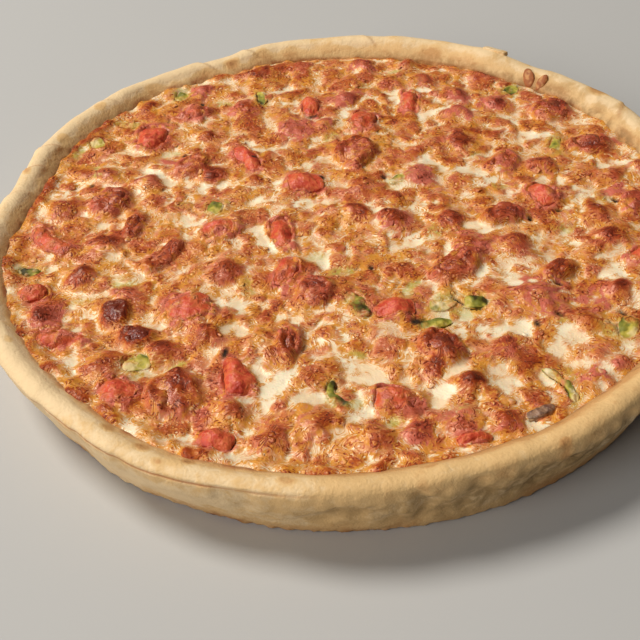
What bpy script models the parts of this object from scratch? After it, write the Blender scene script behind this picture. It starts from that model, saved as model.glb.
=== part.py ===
"""A round, deep sicilian pizza: a raised dough crust, a baked cheese filling and the toppings set in it.

Every length is in metres. The origin is under the middle of the pizza, on the surface it lies on,
with +Z up and the near side of the pizza towards -Y.
"""

import math

import bmesh
import bpy
import numpy as np
from mathutils import Matrix, Vector
from mathutils.geometry import delaunay_2d_cdt

MM = 0.001

# Driving dimensions of the crust
RIM_RADIUS = 167.0 * MM         # outermost line of the rolled rim
BASE_RADIUS = 156.5 * MM        # foot of the wall, where it meets the surface below
CREST_HEIGHT = 35.0 * MM        # top of the rim
RIM_WIDTH = 9.5 * MM            # from the outermost line in to the edge above the cheese
WALL_FOOT = 15.0 * MM           # from the outermost line in to where the cheese meets the dough
FLOOR_WALL = 17.5 * MM          # from the outermost line in to the wall at the dough floor
FLOOR_HEIGHT = 14.0 * MM        # thickness of the dough under the filling

# Driving dimensions of the filling and of what is set in it
CHEESE_LEVEL = 28.2 * MM        # height of the cheese at the wall
CHEESE_DOME = 1.2 * MM          # how much higher it stands in the middle
GAP = 0.3 * MM                  # clearance between pieces that touch
POCKET_GAP = 0.45 * MM          # clearance round a topping, whose faces aren't parallel to its pocket's

# How finely the solids are faceted
SEGMENTS = 80                   # round the crust and the edge of the filling
FILLING_STEP = 11.5 * MM        # spacing of the points on the filling's surface away from its lumps
LUMP_SIDES = 5                  # points round the skirt of a covered lump
POINT_CLEARANCE = 0.62          # least distance between points, as a share of that spacing
CHUNK_SUBDIVISIONS = 2          # of the icosphere that each topping grows from

# Where the rim is pulled in: direction in degrees, half width in degrees, depth in millimetres
RIM_DIPS = (
    (113.0, 5.0, 4.6),
    (124.0, 4.0, 1.2),
    (53.0, 6.0, 2.6),
    (168.0, 6.5, 3.6),
    (-77.0, 9.0, 1.6),
    (-132.0, 14.0, 1.0),
    (20.0, 9.0, 1.4),
)
# Where the top of the rim stands higher (or lower): direction, half width, height in millimetres
RIM_SWELLS = (
    (59.0, 3.5, 1.3),
    (77.0, 10.0, 0.6),
    (112.0, 7.0, -0.9),
    (140.0, 12.0, 0.5),
    (-104.0, 10.0, -0.8),
    (-60.0, 14.0, 0.6),
    (-12.0, 12.0, -0.6),
    (-160.0, 12.0, 0.6),
)
NOTCH_DIRECTION = -134.0        # the small notch in the lower edge, in degrees
NOTCH_HALF_WIDTH = 2.6
NOTCH_DEPTH = 1.6 * MM

# Lumps wholly under the browned cheese: x, y, radius and height in millimetres
COVERED_LUMPS = (
    (-132, 18, 12, 2.6), (-62, 40, 8, 3.0), (-115, 43, 8, 2.5), (-109, -13, 9, 2.6), (-68, 74, 6, 2.8),
    (-22, 76, 11, 3.0), (-74, 121, 7, 2.6), (-53, -36, 9, 3.0), (-58, -77, 8, 3.0), (-47, -119, 7, 3.2),
    (-36, -80, 8, 2.4), (-14, -128, 10, 3.2), (-31, -136, 8, 2.2), (9, -137, 8, 3.2), (24, -134, 7, 2.6),
    (40, -129, 9, 2.4), (57, -131, 7, 2.6), (47, -109, 6, 2.8), (62, -92, 9, 3.0), (97, -110, 12, 2.8),
    (80, -60, 12, 2.6), (114, -57, 6, 2.6), (98, -78, 7, 2.6), (115, -6, 7, 3.0), (118, -23, 8, 2.6),
    (127, 25, 8, 2.6), (22, -3, 9, 3.2), (48, -6, 8, 2.6), (56, -24, 9, 2.6), (75, -25, 9, 3.0),
    (37, 31, 9, 3.2), (44, 57, 8, 3.2), (59, 59, 8, 3.2), (97, 34, 8, 3.2), (62, 84, 7, 2.6),
    (62, 103, 7, 3.0), (81, 95, 8, 2.6), (78, 124, 9, 3.0), (28, 119, 8, 2.8), (46, 119, 8, 2.6),
    (15, 138, 7, 3.0), (39, 138, 6, 3.0), (4, 104, 8, 2.6), (10, 22, 8, 2.6), (5, 4, 7, 3.0),
    (-50, 98, 8, 2.4), (-45, 137, 10, 2.8), (-20, 141, 8, 2.6), (-103, 108, 8, 2.2), (-95, 33, 7, 2.6),
    (-116, -35, 8, 2.4), (-129, -61, 8, 2.6), (-115, -93, 8, 2.2), (-100, -91, 8, 2.6), (-76, -84, 7, 2.4),
    (108, -104, 6, 2.4), (-8, 80, 6, 3.0), (-148, 8, 5, 2.0), (131, -61, 8, 2.6), (140, 30, 7, 2.4),
)

# Toppings that stand out of the cheese, one row each:
# x, y, length, width and rise above the cheese in millimetres, then turn and bend in degrees
TOMATOES = (
    (-97, 75, 23, 18, 5.2, 80, 0), (-76, 98, 14, 13, 4.8, 60, 0), (-15, 98, 19, 9, 4.2, 95, 10),
    (-47, 52, 25, 10, 4.0, -60, -15), (-18, 28, 21, 15, 4.6, -5, 0),
    (-136, -9, 30, 9, 3.4, -47, 85), (-136, -45, 14, 11, 4.4, 10, 0), (-57, -5, 20, 16, 3.8, 20, 0),
    (-29, -10, 24, 10, 3.8, -80, 15), (-67, -60, 21, 19, 5.2, 20, 0), (-26, -38, 20, 11, 3.8, 70, 20),
    (-119, -75, 24, 9, 4.0, -5, 0), (-91, -108, 17, 15, 5.0, -30, 0), (-45, -101, 23, 14, 4.8, -70, 0),
    (-51, -134, 15, 11, 4.6, -25, 0), (20, -65, 17, 14, 4.8, 0, 0), (17, -116, 22, 14, 4.8, -10, -20),
    (44, -138, 13, 6, 4.0, 15, 0), (37, 99, 22, 10, 4.0, 85, 0), (12, 82, 19, 14, 4.4, 70, 0),
    (93, 11, 19, 15, 4.6, -60, 0), (129, -37, 15, 11, 4.2, 35, 0),
)
PEPPERS = (
    (-85, 116, 11, 8, 2.4, 80, 0), (-110, 90, 14, 6, 2.4, 5, 10), (-125, 73, 12, 9, 2.8, -70, 0),
    (-41, 109, 14, 5, 2.4, 100, 20), (-60, 12, 11, 9, 3.8, 60, 0), (-141, -28, 12, 6, 2.4, -10, 0),
    (-86, -91, 13, 9, 2.0, 0, 0), (92, 108, 11, 9, 3.8, 60, 0), (106, 53, 15, 6, 2.8, 80, -20),
    (27, 28, 10, 6, 2.4, 45, 0), (4, -61, 17, 8, 2.8, -65, 10), (40, -61, 12, 9, 2.4, 50, 0),
    (54, -62, 13, 7, 2.8, -10, 0), (36, -74, 14, 5, 2.4, 5, 10), (-7, -114, 22, 4, 2.8, -60, 150),
    (83, -111, 22, 4, 2.6, -65, -70), (113, -81, 15, 9, 3.0, 65, 0),
)
MEAT = (
    (-110, 20, 20, 16, 4.4, 60, 0), (-97, 1, 18, 8, 4.0, 80, 0), (-98, -61, 15, 11, 4.8, -70, 0),
    (-87, -75, 14, 11, 4.8, 0, 0), (-81, -23, 24, 9, 3.6, 55, 15), (-69, -108, 24, 20, 5.2, -60, 0),
    (-24, -83, 18, 9, 4.4, 80, 0), (-13, -52, 17, 13, 4.0, 80, 0), (7, 53, 22, 19, 4.8, 70, 0),
    (-74, 48, 17, 14, 4.4, 60, 0), (109, 86, 20, 16, 4.4, 45, 0), (123, 52, 20, 15, 4.4, 0, 0),
    (79, 39, 17, 13, 4.0, 60, 0), (74, -4, 19, 12, 4.4, 5, 0), (48, -39, 22, 16, 4.4, 30, 0),
    (91, -44, 16, 9, 4.4, 35, 20), (37, -89, 20, 14, 5.2, -60, 0), (133, 1, 16, 12, 4.2, 70, 0),
)
MUSHROOMS = (
    (71, -126, 13, 6, 3.2, 20, 0),
)
# Small things baked onto the rim, one row each: direction in degrees, distance in from the rim's outermost
# line, height, length, width and rise in millimetres, then lean towards the middle and turn in degrees
RIM_SCRAPS = (
    (48.7, 11.6, 31.8, 9.0, 5.0, 1.5, 42, 0),      # browned blister inside the rim
    (44.4, 11.9, 31.4, 8.5, 3.6, 1.4, 42, 8),      # its neighbour
    (57.0, 2.6, 35.2, 9.0, 4.0, 1.2, -14, 84),     # flake of dough that stands up on the rim
)

# Form of each kind: how square its plan is (2 is round), roughness, depth below the cheese
TOMATO_FORM = {"square": 3.0, "rough": 0.07, "depth": 3.0 * MM}
PEPPER_FORM = {"square": 2.6, "rough": 0.06, "depth": 2.0 * MM}
MEAT_FORM = {"square": 2.3, "rough": 0.13, "depth": 3.2 * MM}
MUSHROOM_FORM = {"square": 2.4, "rough": 0.08, "depth": 2.2 * MM}
SCRAP_FORM = {"square": 2.0, "rough": 0.06, "depth": 1.8 * MM}


# ---------------------------------------------------------------------------------------- helpers

def clear_scene():
    """Remove every object, so that the pizza is alone."""
    for thing in list(bpy.data.objects):
        bpy.data.objects.remove(thing, do_unlink=True)


def food_material(name, colour, roughness):
    """A plain Principled material in the food's own colour."""
    material = bpy.data.materials.new(name)
    material.use_nodes = True
    shader = material.node_tree.nodes["Principled BSDF"]
    shader.inputs["Base Color"].default_value = (*colour, 1.0)
    shader.inputs["Roughness"].default_value = roughness
    shader.inputs["Metallic"].default_value = 0.0
    return material


def object_from_bmesh(name, bm, material, smooth_angle=math.radians(50)):
    """Turn a bmesh into a named object with outward faces and one material."""
    bmesh.ops.triangulate(bm, faces=bm.faces)
    bmesh.ops.recalc_face_normals(bm, faces=bm.faces)
    mesh = bpy.data.meshes.new(name)
    bm.to_mesh(mesh)
    bm.free()
    mesh.materials.append(material)
    mesh.shade_smooth()
    mesh.set_sharp_from_angle(angle=smooth_angle)
    thing = bpy.data.objects.new(name, mesh)
    bpy.context.collection.objects.link(thing)
    return thing


def bell(offset_degrees, half_width):
    """A smooth bump, 1 in its middle, for a difference of direction in degrees."""
    wrapped = (offset_degrees + 180.0) % 360.0 - 180.0
    return math.exp(-0.5 * (wrapped / half_width) ** 2)


def wave_field(seed, count, shortest, longest):
    """Random plane waves between two wavelengths, as wave vectors and phases."""
    draw = np.random.default_rng(seed)
    heading = draw.uniform(0.0, 2.0 * math.pi, count)
    length = draw.uniform(shortest, longest, count)
    vectors = np.stack([np.cos(heading), np.sin(heading)], axis=1) * (2.0 * math.pi / length)[:, None]
    return vectors, draw.uniform(0.0, 2.0 * math.pi, count)


def waves_at(field, x, y):
    """Value of a wave field at a place, about -1 to 1."""
    vectors, phases = field
    return float(np.cos(vectors @ np.array((x, y)) + phases).sum()) / math.sqrt(len(phases) / 2.0) / 2.0


# ------------------------------------------------------------------------------------ crust forms

RIM_WAVES = ((3, 0.7, 0.5), (5, 2.1, 0.4), (8, 4.0, 0.35), (13, 1.2, 0.25))     # count, phase, millimetres


def rim_radius(angle):
    """Radius of the rim's outermost line in a direction, with its dips and slow waves."""
    degrees = math.degrees(angle)
    dips = sum(depth * bell(degrees - at, width) for at, width, depth in RIM_DIPS)
    waves = sum(size * math.cos(count * angle + phase) for count, phase, size in RIM_WAVES)
    return RIM_RADIUS + (waves - dips) * MM


def crest_height(angle):
    """Height of the rim's top in a direction."""
    degrees = math.degrees(angle)
    swells = sum(size * bell(degrees - at, width) for at, width, size in RIM_SWELLS)
    waves = sum(size * math.cos((count + 1) * angle - phase) for count, phase, size in RIM_WAVES)
    return CREST_HEIGHT + (swells + 0.7 * waves) * MM


def base_radius(angle):
    """Radius of the foot of the wall, with the small notch."""
    waves = sum(size * math.cos((count + 2) * angle + phase) for count, phase, size in RIM_WAVES)
    notch = NOTCH_DEPTH * bell(math.degrees(angle) - NOTCH_DIRECTION, NOTCH_HALF_WIDTH)
    return BASE_RADIUS + 0.8 * waves * MM - notch


def crust_profile(angle):
    """Radius and height round the crust's section, from the foot of the wall over the rim to the floor."""
    outer = rim_radius(angle)
    crest = crest_height(angle)
    foot = base_radius(angle)
    lean = outer - foot
    rise = crest - CHEESE_LEVEL
    return (
        (foot - 1.2 * MM, 0.0),
        (foot, 1.2 * MM),
        (foot + 0.28 * lean, 0.27 * crest),
        (foot + 0.62 * lean, 0.52 * crest),
        (foot + 0.93 * lean, 0.74 * crest),
        (outer, crest - 4.6 * MM),
        (outer - 0.7 * MM, crest - 2.2 * MM),
        (outer - 2.4 * MM, crest - 0.6 * MM),
        (outer - 4.8 * MM, crest),
        (outer - 7.4 * MM, crest - 0.5 * MM),
        (outer - RIM_WIDTH, crest - 1.9 * MM),
        (outer - 12.2 * MM, CHEESE_LEVEL + 0.42 * rise),
        (outer - WALL_FOOT, CHEESE_LEVEL),
        (outer - FLOOR_WALL, FLOOR_HEIGHT),
    )


def directions():
    """The directions at which the crust and the filling's edge are faceted alike."""
    return [2.0 * math.pi * k / SEGMENTS for k in range(SEGMENTS)]


def ring_of_points(bm, places):
    """One vertex for each (angle, radius, height)."""
    return [bm.verts.new((r * math.cos(a), r * math.sin(a), z)) for a, r, z in places]


def bridge(bm, lower, upper):
    """Quads between two rings of the same count."""
    count = len(lower)
    for k in range(count):
        after = (k + 1) % count
        bm.faces.new((lower[k], lower[after], upper[after], upper[k]))


def fan(bm, ring, height):
    """Close a ring with triangles to a middle point."""
    middle = bm.verts.new((0.0, 0.0, height))
    count = len(ring)
    for k in range(count):
        bm.faces.new((ring[k], ring[(k + 1) % count], middle))


def make_crust(material):
    """The dough: flat underside, leaning wall, rolled rim, and the floor that carries the filling."""
    bm = bmesh.new()
    profiles = [(angle, crust_profile(angle)) for angle in directions()]
    steps = len(profiles[0][1])
    rings = [ring_of_points(bm, [(a, *profile[k]) for a, profile in profiles]) for k in range(steps)]
    for lower, upper in zip(rings, rings[1:]):
        bridge(bm, lower, upper)
    fan(bm, rings[0], 0.0)
    fan(bm, rings[-1], FLOOR_HEIGHT)
    return object_from_bmesh("crust", bm, material)


# ---------------------------------------------------------------------------------- filling forms

SLOW_WAVES = wave_field(seed=11, count=10, shortest=34.0 * MM, longest=70.0 * MM)
QUICK_WAVES = wave_field(seed=12, count=16, shortest=15.0 * MM, longest=26.0 * MM)
SLOW_WAVE_HEIGHT = 0.7 * MM
QUICK_WAVE_HEIGHT = 0.6 * MM


def cheese_height(x, y):
    """Height of the baked cheese over a place, with the lumps under it."""
    radius = math.hypot(x, y)
    height = CHEESE_LEVEL + CHEESE_DOME * (1.0 - (radius / RIM_RADIUS) ** 2)
    height += SLOW_WAVE_HEIGHT * waves_at(SLOW_WAVES, x, y) + QUICK_WAVE_HEIGHT * waves_at(QUICK_WAVES, x, y)
    for lump_x, lump_y, lump_radius, lump_height in COVERED_LUMPS:
        distance = math.hypot(x - lump_x * MM, y - lump_y * MM) / (lump_radius * MM)
        height += lump_height * MM * math.exp(-1.3 * distance ** 2)
    return height


def wall_radius(angle, height):
    """Radius of the crust's inner wall at a height between the floor and the foot of the rim's slope."""
    share = (height - FLOOR_HEIGHT) / (CHEESE_LEVEL - FLOOR_HEIGHT)
    return rim_radius(angle) - FLOOR_WALL + share * (FLOOR_WALL - WALL_FOOT)


def edge_height(angle):
    """Height of the cheese where it meets the wall: never above the foot of the rim's slope."""
    radius = wall_radius(angle, CHEESE_LEVEL)
    return min(cheese_height(radius * math.cos(angle), radius * math.sin(angle)), CHEESE_LEVEL)


def lump_points():
    """The middle and the skirt of each covered lump."""
    points = []
    for x, y, radius, _ in COVERED_LUMPS:
        points.append((x * MM, y * MM))
        for k in range(LUMP_SIDES):
            angle = 2.0 * math.pi * (k + 0.5) / LUMP_SIDES
            reach = 0.95 * radius
            points.append(((x + reach * math.cos(angle)) * MM, (y + reach * math.sin(angle)) * MM))
    return points


def lattice_points():
    """A triangular lattice over the whole filling."""
    row_step = FILLING_STEP * math.sqrt(3.0) / 2.0
    rows = int(RIM_RADIUS / row_step)
    columns = int(RIM_RADIUS / FILLING_STEP) + 1
    return [(column * FILLING_STEP + 0.5 * FILLING_STEP * (row % 2), row * row_step)
            for row in range(-rows, rows + 1) for column in range(-columns, columns + 1)]


def surface_points():
    """Points of the filling's surface: lumps first, then the lattice where there is room between them."""
    toppings = [(row[0] * MM, row[1] * MM, 0.22 * (row[2] + row[3]) * MM)
                for row in TOMATOES + PEPPERS + MEAT + MUSHROOMS]
    kept = []
    for x, y in lump_points() + lattice_points():
        edge = wall_radius(math.atan2(y, x), CHEESE_LEVEL)
        if math.hypot(x, y) > edge - 0.45 * FILLING_STEP:
            continue
        if any(math.hypot(x - tx, y - ty) < reach for tx, ty, reach in toppings):
            continue
        if all(math.hypot(x - kx, y - ky) > POINT_CLEARANCE * FILLING_STEP for kx, ky in kept):
            kept.append((x, y))
    return kept


def make_filling(material, cutters):
    """The cheese and what is melted into it, with a pocket for each topping that stands out."""
    bm = bmesh.new()
    angles = directions()
    rim = [(a, wall_radius(a, edge_height(a)) - GAP, edge_height(a)) for a in angles]
    floor = FLOOR_HEIGHT + GAP
    low = [(a, wall_radius(a, floor) - GAP, floor) for a in angles]
    top_ring = ring_of_points(bm, rim)
    low_ring = ring_of_points(bm, low)
    bridge(bm, low_ring, top_ring)
    fan(bm, low_ring, floor)

    inside = surface_points()
    flat = [Vector((v.co.x, v.co.y)) for v in top_ring] + [Vector(point) for point in inside]
    count = len(top_ring)
    border = [(k, (k + 1) % count) for k in range(count)]
    _, _, faces, *_ = delaunay_2d_cdt(flat, border, [], 1, 1e-7)
    surface = top_ring + [bm.verts.new((x, y, cheese_height(x, y))) for x, y in inside]
    for face in faces:
        bm.faces.new([surface[k] for k in face])

    filling = object_from_bmesh("filling", bm, material)
    pockets = filling.modifiers.new("pockets", "BOOLEAN")
    pockets.operation = "DIFFERENCE"
    pockets.solver = "EXACT"
    pockets.operand_type = "COLLECTION"
    pockets.collection = cutters
    return filling


# ---------------------------------------------------------------------------------- topping forms

def roundness(direction, square):
    """Distance from the middle to a rounded box, in a direction."""
    return sum(abs(part) ** square for part in direction) ** (-1.0 / square)


def chunk_shape(direction, row, form, seed):
    """Point of a topping's skin in a direction, before it is turned and placed."""
    _, _, length, width, rise, _, bend = row
    draw = np.random.default_rng(seed)
    knobs = draw.normal(size=(7, 3))
    knobs /= np.linalg.norm(knobs, axis=1)[:, None]
    unevenness = float(np.sin(3.0 * (knobs @ np.array(direction)) + draw.uniform(0, 6.28, 7)).mean())
    reach = roundness(direction, form["square"]) * (1.0 + 2.2 * form["rough"] * unevenness)
    x = 0.5 * length * MM * direction[0] * reach
    y = 0.5 * width * MM * direction[1] * reach
    z = direction[2] * reach * (rise * MM if direction[2] > 0 else form["depth"])
    if bend:
        radius = length * MM / math.radians(bend)
        turned = x / radius
        x, y = (radius - y) * math.sin(turned), radius - (radius - y) * math.cos(turned)
    return Vector((x, y, z))


def chunk_bmesh(row, form, seed):
    """A topping's closed skin about its own middle."""
    bm = bmesh.new()
    bmesh.ops.create_icosphere(bm, subdivisions=CHUNK_SUBDIVISIONS, radius=1.0)
    for vert in bm.verts:
        vert.co = chunk_shape(vert.co.normalized(), row, form, seed)
    return bm


def grow(bm, distance):
    """Move a closed skin outwards by a distance."""
    bm.normal_update()
    moved = [(vert, vert.co + vert.normal * distance) for vert in bm.verts]
    for vert, place in moved:
        vert.co = place


def make_chunk(name, row, form, seed, material, cutters):
    """One topping set into the cheese, and the hidden cutter of its pocket."""
    x, y = row[0] * MM, row[1] * MM
    place = Vector((x, y, cheese_height(x, y)))
    turn = math.radians(row[5])
    chunk = object_from_bmesh(name, chunk_bmesh(row, form, seed), material)
    wide = chunk_bmesh(row, form, seed)
    grow(wide, POCKET_GAP)
    cutter = object_from_bmesh(name + "_pocket", wide, material)
    for thing in (chunk, cutter):
        thing.location = place
        thing.rotation_euler.z = turn
    cutter.hide_render = True
    cutter.display_type = "WIRE"
    bpy.context.collection.objects.unlink(cutter)
    cutters.objects.link(cutter)
    return chunk


def make_toppings(kind, rows, form, first_seed, material, cutters):
    """All toppings of one kind, numbered from 1."""
    return [make_chunk(f"{kind}_{k + 1}", row, form, first_seed + k, material, cutters)
            for k, row in enumerate(rows)]


def make_rim_scrap(row, seed, material):
    """A blister or flake sunk into the rim, on its slope."""
    direction, inset, height, length, width, rise, lean, turn = row
    angle = math.radians(direction)
    radius = rim_radius(angle) - inset * MM
    scrap = object_from_bmesh("scrap", chunk_bmesh((0, 0, length, width, rise, 0, 0), SCRAP_FORM, seed), material)
    placing = Matrix.Translation((radius * math.cos(angle), radius * math.sin(angle), height * MM))
    slope = Matrix.Rotation(angle, 4, "Z") @ Matrix.Rotation(-math.radians(lean), 4, "Y")
    scrap.matrix_world = placing @ slope @ Matrix.Rotation(math.radians(turn), 4, "Z")
    return scrap


def fuse_scraps(crust, material):
    """Join the blisters and the flake to the crust, as one solid."""
    scraps = bpy.data.collections.new("scraps")
    bpy.context.scene.collection.children.link(scraps)
    for k, row in enumerate(RIM_SCRAPS):
        scrap = make_rim_scrap(row, 500 + k, material)
        bpy.context.collection.objects.unlink(scrap)
        scraps.objects.link(scrap)
    union = crust.modifiers.new("scraps", "BOOLEAN")
    union.operation = "UNION"
    union.solver = "EXACT"
    union.operand_type = "COLLECTION"
    union.collection = scraps
    with bpy.context.temp_override(object=crust, active_object=crust):
        bpy.ops.object.modifier_apply(modifier=union.name)
    for scrap in list(scraps.objects):
        bpy.data.objects.remove(scrap, do_unlink=True)
    bpy.data.collections.remove(scraps)


# --------------------------------------------------------------------------------------- assembly

def main():
    clear_scene()
    dough = food_material("dough", (0.80, 0.58, 0.32), 0.75)
    cheese = food_material("cheese", (0.78, 0.42, 0.16), 0.42)
    tomato = food_material("tomato", (0.60, 0.07, 0.03), 0.28)
    pepper = food_material("pepper", (0.25, 0.34, 0.06), 0.35)
    meat = food_material("meat", (0.36, 0.09, 0.04), 0.45)
    mushroom = food_material("mushroom", (0.36, 0.24, 0.14), 0.5)
    toasted = food_material("toasted", (0.42, 0.16, 0.05), 0.45)

    cutters = bpy.data.collections.new("pockets")
    bpy.context.scene.collection.children.link(cutters)

    crust = make_crust(dough)
    fuse_scraps(crust, toasted)
    pieces = [crust, make_filling(cheese, cutters)]
    pieces += make_toppings("tomato", TOMATOES, TOMATO_FORM, 100, tomato, cutters)
    pieces += make_toppings("pepper", PEPPERS, PEPPER_FORM, 200, pepper, cutters)
    pieces += make_toppings("meat", MEAT, MEAT_FORM, 300, meat, cutters)
    pieces += make_toppings("mushroom", MUSHROOMS, MUSHROOM_FORM, 400, mushroom, cutters)

    pizza = bpy.data.objects.new("pizza", None)
    bpy.context.scene.collection.objects.link(pizza)
    for piece in pieces:
        piece.parent = pizza


main()
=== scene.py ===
"""Sicilian pizza: the fine crust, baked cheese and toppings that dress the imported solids."""
import itertools
import math
from collections import namedtuple
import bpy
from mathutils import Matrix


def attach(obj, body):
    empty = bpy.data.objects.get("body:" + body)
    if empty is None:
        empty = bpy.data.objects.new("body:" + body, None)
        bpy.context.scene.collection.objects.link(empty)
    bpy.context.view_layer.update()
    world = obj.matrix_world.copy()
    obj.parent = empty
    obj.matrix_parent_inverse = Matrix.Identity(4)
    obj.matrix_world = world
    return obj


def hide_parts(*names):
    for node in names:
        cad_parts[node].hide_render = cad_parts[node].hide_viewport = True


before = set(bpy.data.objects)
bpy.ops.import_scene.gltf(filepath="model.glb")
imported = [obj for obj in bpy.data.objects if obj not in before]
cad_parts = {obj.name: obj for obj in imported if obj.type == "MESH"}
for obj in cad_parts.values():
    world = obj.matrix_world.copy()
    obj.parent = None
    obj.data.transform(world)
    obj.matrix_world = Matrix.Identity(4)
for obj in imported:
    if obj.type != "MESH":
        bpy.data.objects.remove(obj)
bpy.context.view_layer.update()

from types import SimpleNamespace

import bmesh
import bpy
import numpy as np
from bpy.props import FloatProperty, FloatVectorProperty, IntProperty, PointerProperty
from mathutils import Euler, Vector

bl_info = {
    "name": "Sicilian Pizza",
    "version": (1, 0, 0),
    "blender": (4, 5, 0),
    "location": "View3D > Sidebar > Pizza",
    "description": "Builds a whole deep pizza with a dough rim, baked cheese and roasted toppings",
    "category": "Object",
}

MM = 0.001
MM_IN_METRE = 1000.0

# ------------------------------------------------------------------- sizes that the solids share
# Places have x to the right and y to the far side. Directions are in degrees, 0 at the right and 90 at the
# far side.

RIM_RADIUS = 167.0 * MM
BASE_RADIUS = 156.5 * MM
CREST_HEIGHT = 35.0 * MM
RIM_WIDTH = 9.5 * MM
WALL_FOOT = 15.0 * MM
FLOOR_WALL = 17.5 * MM
FLOOR_HEIGHT = 14.0 * MM
CHEESE_LEVEL = 28.2 * MM
CHEESE_DOME = 1.2 * MM
GAP = 0.3 * MM

# direction and half width in degrees, then depth or height in millimetres
RIM_DIPS = (
    (113, 5, 4.6), (124, 4, 1.2), (53, 6, 2.6), (168, 6.5, 3.6), (-77, 9, 1.6), (-132, 14, 1.0),
    (20, 9, 1.4),
)
RIM_SWELLS = (
    (59, 3.5, 1.3), (77, 10, 0.6), (112, 7, -0.9), (140, 12, 0.5), (-104, 10, -0.8), (-60, 14, 0.6),
    (-12, 12, -0.6), (-160, 12, 0.6),
)
FOOT_NOTCHES = ((-134, 2.6, 1.6),)
RIM_WAVES = (     # count, phase, millimetres
    (3, 0.7, 0.5), (5, 2.1, 0.4), (8, 4.0, 0.35), (13, 1.2, 0.25),
)

# Lumps wholly under the browned cheese: x, y, radius and height in millimetres, and for some how brown
COVERED_LUMPS = (
    (-132, 18, 12, 2.6, 0.6), (-62, 40, 8, 3.0), (-115, 43, 8, 2.5), (-109, -13, 9, 2.6), (-68, 74, 6, 2.8),
    (-22, 76, 11, 3.0, 0.45), (-74, 121, 7, 2.6), (-53, -36, 9, 3.0, 0.8), (-58, -77, 8, 3.0),
    (-47, -119, 7, 3.2, 0.55), (-36, -80, 8, 2.4, 0.45), (-14, -128, 10, 3.2, 0.6),
    (-31, -136, 8, 2.2, 0.15), (9, -137, 8, 3.2), (24, -134, 7, 2.6), (40, -129, 9, 2.4, 0.55),
    (57, -131, 7, 2.6), (47, -109, 6, 2.8), (62, -92, 9, 3.0), (97, -110, 12, 2.8, 0.25),
    (80, -60, 12, 2.6, 0.40), (114, -57, 6, 2.6), (98, -78, 7, 2.6), (115, -6, 7, 3.0, 0.85),
    (118, -23, 8, 2.6), (127, 25, 8, 2.6), (22, -3, 9, 3.2, 0.85), (48, -6, 8, 2.6), (56, -24, 9, 2.6),
    (75, -25, 9, 3.0), (37, 31, 9, 3.2), (44, 57, 8, 3.2), (59, 59, 8, 3.2, 0.9), (97, 34, 8, 3.2),
    (62, 84, 7, 2.6), (62, 103, 7, 3.0), (81, 95, 8, 2.6), (78, 124, 9, 3.0), (28, 119, 8, 2.8),
    (46, 119, 8, 2.6), (15, 138, 7, 3.0), (39, 138, 6, 3.0), (4, 104, 8, 2.6), (10, 22, 8, 2.6),
    (5, 4, 7, 3.0, 0.95), (-50, 98, 8, 2.4), (-45, 137, 10, 2.8), (-20, 141, 8, 2.6), (-103, 108, 8, 2.2),
    (-95, 33, 7, 2.6), (-116, -35, 8, 2.4), (-129, -61, 8, 2.6), (-115, -93, 8, 2.2, 0.2),
    (-100, -91, 8, 2.6), (-76, -84, 7, 2.4), (108, -104, 6, 2.4), (-8, 80, 6, 3.0), (-148, 8, 5, 2.0),
    (131, -61, 8, 2.6), (140, 30, 7, 2.4, 0.3), (33, -101, 6, 0.6, 0.85), (-57, -123, 6, 0.5, 0.95),
    (-97, -47, 6, 0.8, 0.75), (-90, 20, 6, 0.8, 0.75), (109, -30, 6, 1.0, 0.75),
)

# Toppings, one row each: x, y, length, width and rise in millimetres, turn and bend in degrees. Then, for
# tomatoes how much cheese lies over them, for peppers and the mushroom their tone (0 cream to 1 dark green)
# and that cheese, and for meat its browning and its pinkness.
TOMATOES = (
    (-97, 75, 23, 18, 5.2, 80, 0, 0.1), (-76, 98, 14, 13, 4.8, 60, 0, 0.55),
    (-15, 98, 19, 9, 4.2, 95, 10, 0.1), (-47, 52, 25, 10, 4.0, -60, -15, 0.1),
    (-18, 28, 21, 15, 4.6, -5, 0, 0.1), (-136, -9, 30, 9, 3.4, -47, 85, 0.3),
    (-136, -45, 14, 11, 4.4, 10, 0, 0.35), (-57, -5, 20, 16, 3.8, 20, 0, 0.55),
    (-29, -10, 24, 10, 3.8, -80, 15, 0.3), (-67, -60, 21, 19, 5.2, 20, 0, 0.3),
    (-26, -38, 20, 11, 3.8, 70, 20, 0.4), (-119, -75, 24, 9, 4.0, -5, 0, 0.3),
    (-91, -108, 17, 15, 5.0, -30, 0, 0.35), (-45, -101, 23, 14, 4.8, -70, 0, 0.1),
    (-51, -134, 15, 11, 4.6, -25, 0, 0.0), (20, -65, 17, 14, 4.8, 0, 0, 0.15),
    (17, -116, 22, 14, 4.8, -10, -20, 0.5), (44, -138, 13, 6, 4.0, 15, 0, 0.1),
    (37, 99, 22, 10, 4.0, 85, 0, 0.4), (12, 82, 19, 14, 4.4, 70, 0, 0.3),
    (93, 11, 19, 15, 4.6, -60, 0, 0.35), (129, -37, 15, 11, 4.2, 35, 0, 0.4),
)
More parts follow.
